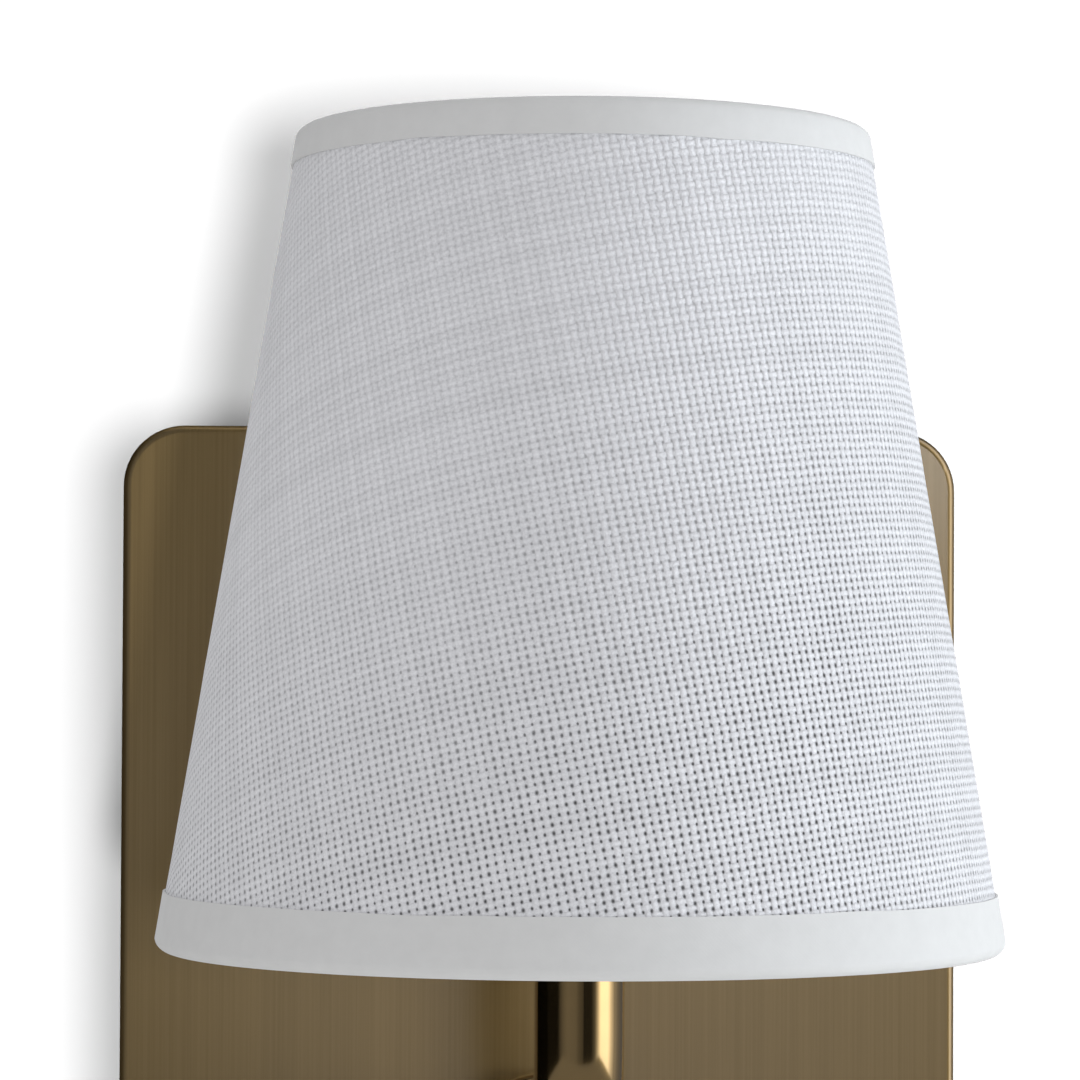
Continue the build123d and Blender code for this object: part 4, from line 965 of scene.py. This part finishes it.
class WALLLIGHT_OT_stage(bpy.types.Operator):
    """Makes the wall, the floor, the lamps and the camera"""

    bl_idname = "walllight.stage"
    bl_label = "Stage"

    def execute(self, context):
        stage = context.scene.stage_settings
        scene = context.scene
        scene.view_settings.view_transform = "Standard"
        self.add_world(scene, stage)
        wall = self.add_wall()
        self.add_floor()
        aim = Vector((shade_x, shade_y, (shade_foot + shade_head) / 2))
        for name, direction, distance, size, power in (
            ("key_lamp", (0.98, -0.20, -0.12), 0.95, (0.42, 1.3), stage.key_power),
            ("fill_lamp", (0.30, -0.88, -0.30), 1.3, (0.35, 0.35), stage.fill_power),
            ("rear_lamp", (-0.35, 0.85, 0.35), 1.2, (0.9, 0.9), stage.rear_power),
        ):
            lamp = self.add_lamp(name, "AREA", aim, direction, distance, power)
            lamp.data.shape = "RECTANGLE"
            lamp.data.size, lamp.data.size_y = size
            lamp.data.color = stage.lamp_colour
            lamp.visible_glossy = False
            self.link_light(lamp, "receiver_collection", [wall], "EXCLUDE")
        # two suns light only the wall, so that the shade and the plate each leave a soft shadow on it
        for name, bearing, height, width, blockers in (
            ("shade_shadow_sun", 4.2, -7.0, 7.5, ["shade_cloth", "bottom_trim_tape", "top_trim_tape"]),
            ("plate_shadow_sun", 19.0, -5.0, 36.0, ["backplate"]),
        ):
            side, rise = radians(bearing), radians(height)
            direction = (sin(side) * cos(rise), -cos(side) * cos(rise), sin(rise))
            sun = self.add_lamp(name, "SUN", aim, direction, 1.5, stage.wall_light / -direction[1])
            sun.data.angle = radians(width)
            sun.visible_glossy = False
            self.link_light(sun, "receiver_collection", [wall], "INCLUDE")
            blockers = [bpy.data.objects[item] for item in blockers]
            self.link_light(sun, "blocker_collection", blockers, "INCLUDE")
        # two soft front lights that only the brushed plate mirrors: the arm shows as a dark blur in the
        # first, and the lacquer shines pale in the second towards the right-hand top corner
        for name, direction, width, power in (
            ("plate_sun", (0.105, -1.0, -0.06), 12, stage.plate_light),
            ("lacquer_sun", (0.172, -1.0, 0.062), 4, stage.lacquer_light),
        ):
            front = self.add_lamp(name, "SUN", aim, direction, 1.5, power)
            front.data.angle = radians(width)
            self.link_light(front, "receiver_collection", [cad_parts["backplate"]], "INCLUDE")
        self.add_camera(scene, stage)
        return {"FINISHED"}

    def link_light(self, lamp, role, pieces, state):
        """Says which pieces a lamp lights, or which ones block it."""
        group = bpy.data.collections.new(lamp.name + "_" + role)
        for entry, piece in enumerate(pieces):
            group.objects.link(piece)
            group.collection_objects[entry].light_linking.link_state = state
        setattr(lamp.light_linking, role, group)

    def add_sheet(self, name, corners, material):
        mesh = bpy.data.meshes.new(name)
        mesh.from_pydata(corners, [], [(0, 1, 2, 3)])
        mesh.materials.append(material)
        sheet = bpy.data.objects.new(name, mesh)
        bpy.context.scene.collection.objects.link(sheet)
        return sheet

    def add_lamp(self, name, kind, aim, direction, distance, power):
        data = bpy.data.lights.new(name, kind)
        data.energy = power
        lamp = bpy.data.objects.new(name, data)
        place = Vector(direction).normalized() * distance
        lamp.location = aim + place
        lamp.rotation_euler = (-place).to_track_quat("-Z", "Y").to_euler()
        bpy.context.scene.collection.objects.link(lamp)
        return lamp

    def seen_directly(self, tree):
        """1 for what the eye sees straight, in glass or in metal, and 0 for soft light."""
        path = add(tree, "LightPath")
        seen = add(
            tree,
            "Math",
            {0: path.outputs["Is Camera Ray"], 1: path.outputs["Is Transmission Ray"]},
            operation="ADD",
            use_clamp=True,
        )
        return path, seen

    def add_world(self, scene, stage):
        world = bpy.data.worlds.new("studio")
        scene.world = world
        world.use_nodes = True
        tree = world.node_tree
        tree.nodes.clear()
        path, seen = self.seen_directly(tree)
        # a dim studio for the polished brass: dark to the left and just right of the camera
        place = add(tree, "SeparateXYZ", {"Vector": add(tree, "TexCoord").outputs["Generated"]})
        ahead = add(tree, "Math", {0: place.outputs["Y"], 1: -1.0}, operation="MULTIPLY")
        bearing = add(tree, "Math", {0: place.outputs["X"], 1: ahead}, operation="ARCTAN2")
        share = add(tree, "MapRange", {0: bearing, 1: -pi, 2: pi, 3: 0.0, 4: 1.0})
        bands = add(tree, "ValToRGB", {"Fac": share.outputs[0]})
        ramp = bands.color_ramp
        stops = [((bearing + 180) / 360, level) for bearing, level in studio_bands]
        for spot, level in stops[1:-1]:
            ramp.elements.new(spot).color = (level, level, level, 1.0)
        for element, (spot, level) in zip((ramp.elements[0], ramp.elements[-1]), (stops[0], stops[-1])):
            element.position = spot
            element.color = (level, level, level, 1.0)
        soft = (stage.ambient, stage.ambient, stage.ambient * 1.015, 1.0)
        level = add(
            tree,
            "Mix",
            {0: path.outputs["Is Glossy Ray"], 6: soft, 7: bands.outputs["Color"]},
            data_type="RGBA",
        )
        level = add(tree, "Mix", {0: seen, 6: level.outputs[2], 7: (1.0, 1.0, 1.0, 1.0)}, data_type="RGBA")
        add(tree, "OutputWorld", {"Surface": add(tree, "Background", {"Color": level.outputs[2]})})

    def pale_surface(self, name, colour, shown, soft, mirrored):
        """Painted board that keeps the light's shadow, and glows towards the other pieces as painted light.

        shown is the glow that the eye sees. soft is the painted glow that lights the pieces, and mirrored
        the painted glow that polished metal sees, each at the left and at the right.
        """
        material, tree = new_material(name)
        path, seen = self.seen_directly(tree)
        place = add(tree, "TexCoord").outputs["Object"]
        grain = add(tree, "TexNoise", {"Vector": place, "Scale": 400.0, "Detail": 2.0})
        bump = add(tree, "Bump", {"Strength": 0.05, "Distance": 0.0001, "Height": grain.outputs["Fac"]})
        paint = add(tree, "BsdfDiffuse", {"Color": linear(colour), "Normal": bump})
        glow = add(tree, "Emission", {"Color": (1.0, 1.0, 1.0, 1.0), "Strength": shown})
        paint = add(tree, "AddShader", {0: paint, 1: glow})
        aside = add(tree, "SeparateXYZ", {"Vector": place})
        soft = add(tree, "MapRange", {0: aside.outputs["X"], 1: -0.09, 2: 0.12, 3: soft[0], 4: soft[1]})
        mirrored = add(
            tree, "MapRange", {0: aside.outputs["X"], 1: -0.05, 2: 0.55, 3: mirrored[0], 4: mirrored[1]}
        )
        level = add(
            tree, "Mix", {0: path.outputs["Is Glossy Ray"], 2: soft.outputs[0], 3: mirrored.outputs[0]}
        )
        # the part of the wall that the plate covers glows brighter: painted light for the hollow behind it
        half_cover, cover_level = (0.078, 0.0, 0.085), 0.9
        spot = add(tree, "VectorMath", {0: place}, operation="ABSOLUTE")
        spot = add(tree, "VectorMath", {0: spot, 1: half_cover}, operation="SUBTRACT")
        spot = add(tree, "SeparateXYZ", {"Vector": spot})
        spot = add(tree, "Math", {0: spot.outputs["X"], 1: spot.outputs["Z"]}, operation="MAXIMUM")
        covered = add(tree, "Math", {0: spot, 1: 0.0}, operation="LESS_THAN")
        level = add(tree, "Mix", {0: covered, 2: level.outputs[0], 3: cover_level})
        bounce = add(tree, "Emission", {"Color": (1.0, 1.0, 1.0, 1.0), "Strength": level.outputs[0]})
        surface = add(tree, "MixShader", {0: seen, 1: bounce, 2: paint})
        behind = add(tree, "NewGeometry").outputs["Backfacing"]
        surface = add(tree, "MixShader", {0: behind, 1: surface, 2: add(tree, "BsdfTransparent")})
        add(tree, "OutputMaterial", {"Surface": surface})
        return material

    def add_wall(self):
        """The wall, whose dark paint and strong suns keep the shadows clear of the room's soft light."""
        reach, depth = 1.6, 0.0004
        square = ((-reach, -reach), (reach, -reach), (reach, reach), (-reach, reach))
        paint = self.pale_surface("wall_paint", "#616161", 0.0, (0.40, 0.62), (0.0, 0.5))
        wall = self.add_sheet("wall", [(x, depth, z) for x, z in square], paint)
        wall.visible_shadow = False
        return wall

    def add_floor(self):
        """A pale floor well below the light."""
        reach, level = 1.3, cad_low.z - 0.35
        square = ((-reach, -reach), (reach, -reach), (reach, reach), (-reach, reach))
        paint = self.pale_surface("floor_paint", "#E4E4E4", 0.45, (0.7, 0.7), (0.3, 0.3))
        self.add_sheet("floor", [(x, y, level) for x, y in square], paint)

    def add_camera(self, scene, stage):
        yaw, pitch, roll = stage.camera_yaw, stage.camera_pitch, stage.camera_roll
        ahead = Vector((sin(yaw) * cos(pitch), cos(yaw) * cos(pitch), sin(pitch)))
        right = Vector((cos(yaw), -sin(yaw), 0))
        above = right.cross(ahead)
        turned = right * cos(roll) + above * sin(roll)
        above = above * cos(roll) - right * sin(roll)
        data = bpy.data.cameras.new("camera")
        data.lens = stage.lens
        data.sensor_width = 36.0
        data.clip_start, data.clip_end = 0.01, 50.0
        camera = bpy.data.objects.new("camera", data)
        scene.collection.objects.link(camera)
        turn = Matrix((turned, above, -ahead)).transposed().to_4x4()
        camera.matrix_world = Matrix.Translation(stage.camera_place) @ turn
        scene.camera = camera


class WALLLIGHT_PT_pieces(bpy.types.Panel):
    """Lists the pieces of the wall light"""

    bl_idname = "WALLLIGHT_PT_pieces"
    bl_label = "Wall light"
    bl_space_type = "VIEW_3D"
    bl_region_type = "UI"
    bl_category = "Wall light"

    def draw(self, context):
        for group, heading in (
            ("shade_settings", "Shade"),
            ("metal_settings", "Metal"),
            ("holder_settings", "Lampholder and bulb"),
            ("stage_settings", "Stage"),
        ):
            box = self.layout.box()
            box.label(text=heading)
            settings = getattr(context.scene, group)
            for name in settings.__annotations__:
                box.prop(settings, name)
        for operator in operators:
            self.layout.operator(operator.bl_idname)


# What polished metal sees round the light: bearing in degrees to the right of straight ahead, and level.
studio_bands = (
    (-180, 0.01),
    (-62, 0.01),
    (-48, 0.20),
    (-36, 0.28),
    (-14, 0.25),
    (-3, 0.13),
    (4, 0.03),
    (26, 0.03),
    (36, 0.20),
    (43, 1.1),
    (51, 3.1),
    (73, 3.1),
    (84, 1.5),
    (92, 0.8),
    (180, 0.8),
)

groups = {
    "shade_settings": ShadeSettings,
    "metal_settings": MetalSettings,
    "holder_settings": HolderSettings,
    "stage_settings": StageSettings,
}
operators = (
    WALLLIGHT_OT_metalwork,
    WALLLIGHT_OT_wiring,
    WALLLIGHT_OT_lampholder,
    WALLLIGHT_OT_bulb,
    WALLLIGHT_OT_shade_frame,
    WALLLIGHT_OT_shade_lining,
    WALLLIGHT_OT_shade_cloth,
    WALLLIGHT_OT_shade_tapes,
    WALLLIGHT_OT_stage,
)
classes = (*groups.values(), *operators, WALLLIGHT_PT_pieces)


def register():
    for item in classes:
        bpy.utils.register_class(item)
    for name, group in groups.items():
        setattr(bpy.types.Scene, name, bpy.props.PointerProperty(type=group))


def unregister():
    for name in groups:
        delattr(bpy.types.Scene, name)
    for item in reversed(classes):
        bpy.utils.unregister_class(item)


def main():
    """Makes every piece in order."""
    register()
    bpy.ops.walllight.metalwork()
    bpy.ops.walllight.wiring()
    bpy.ops.walllight.lampholder()
    bpy.ops.walllight.bulb()
    bpy.ops.walllight.shade_frame()
    bpy.ops.walllight.shade_lining()
    bpy.ops.walllight.shade_cloth()
    bpy.ops.walllight.shade_tapes()
    bpy.ops.walllight.stage()


if __name__ == "__main__":
    main()
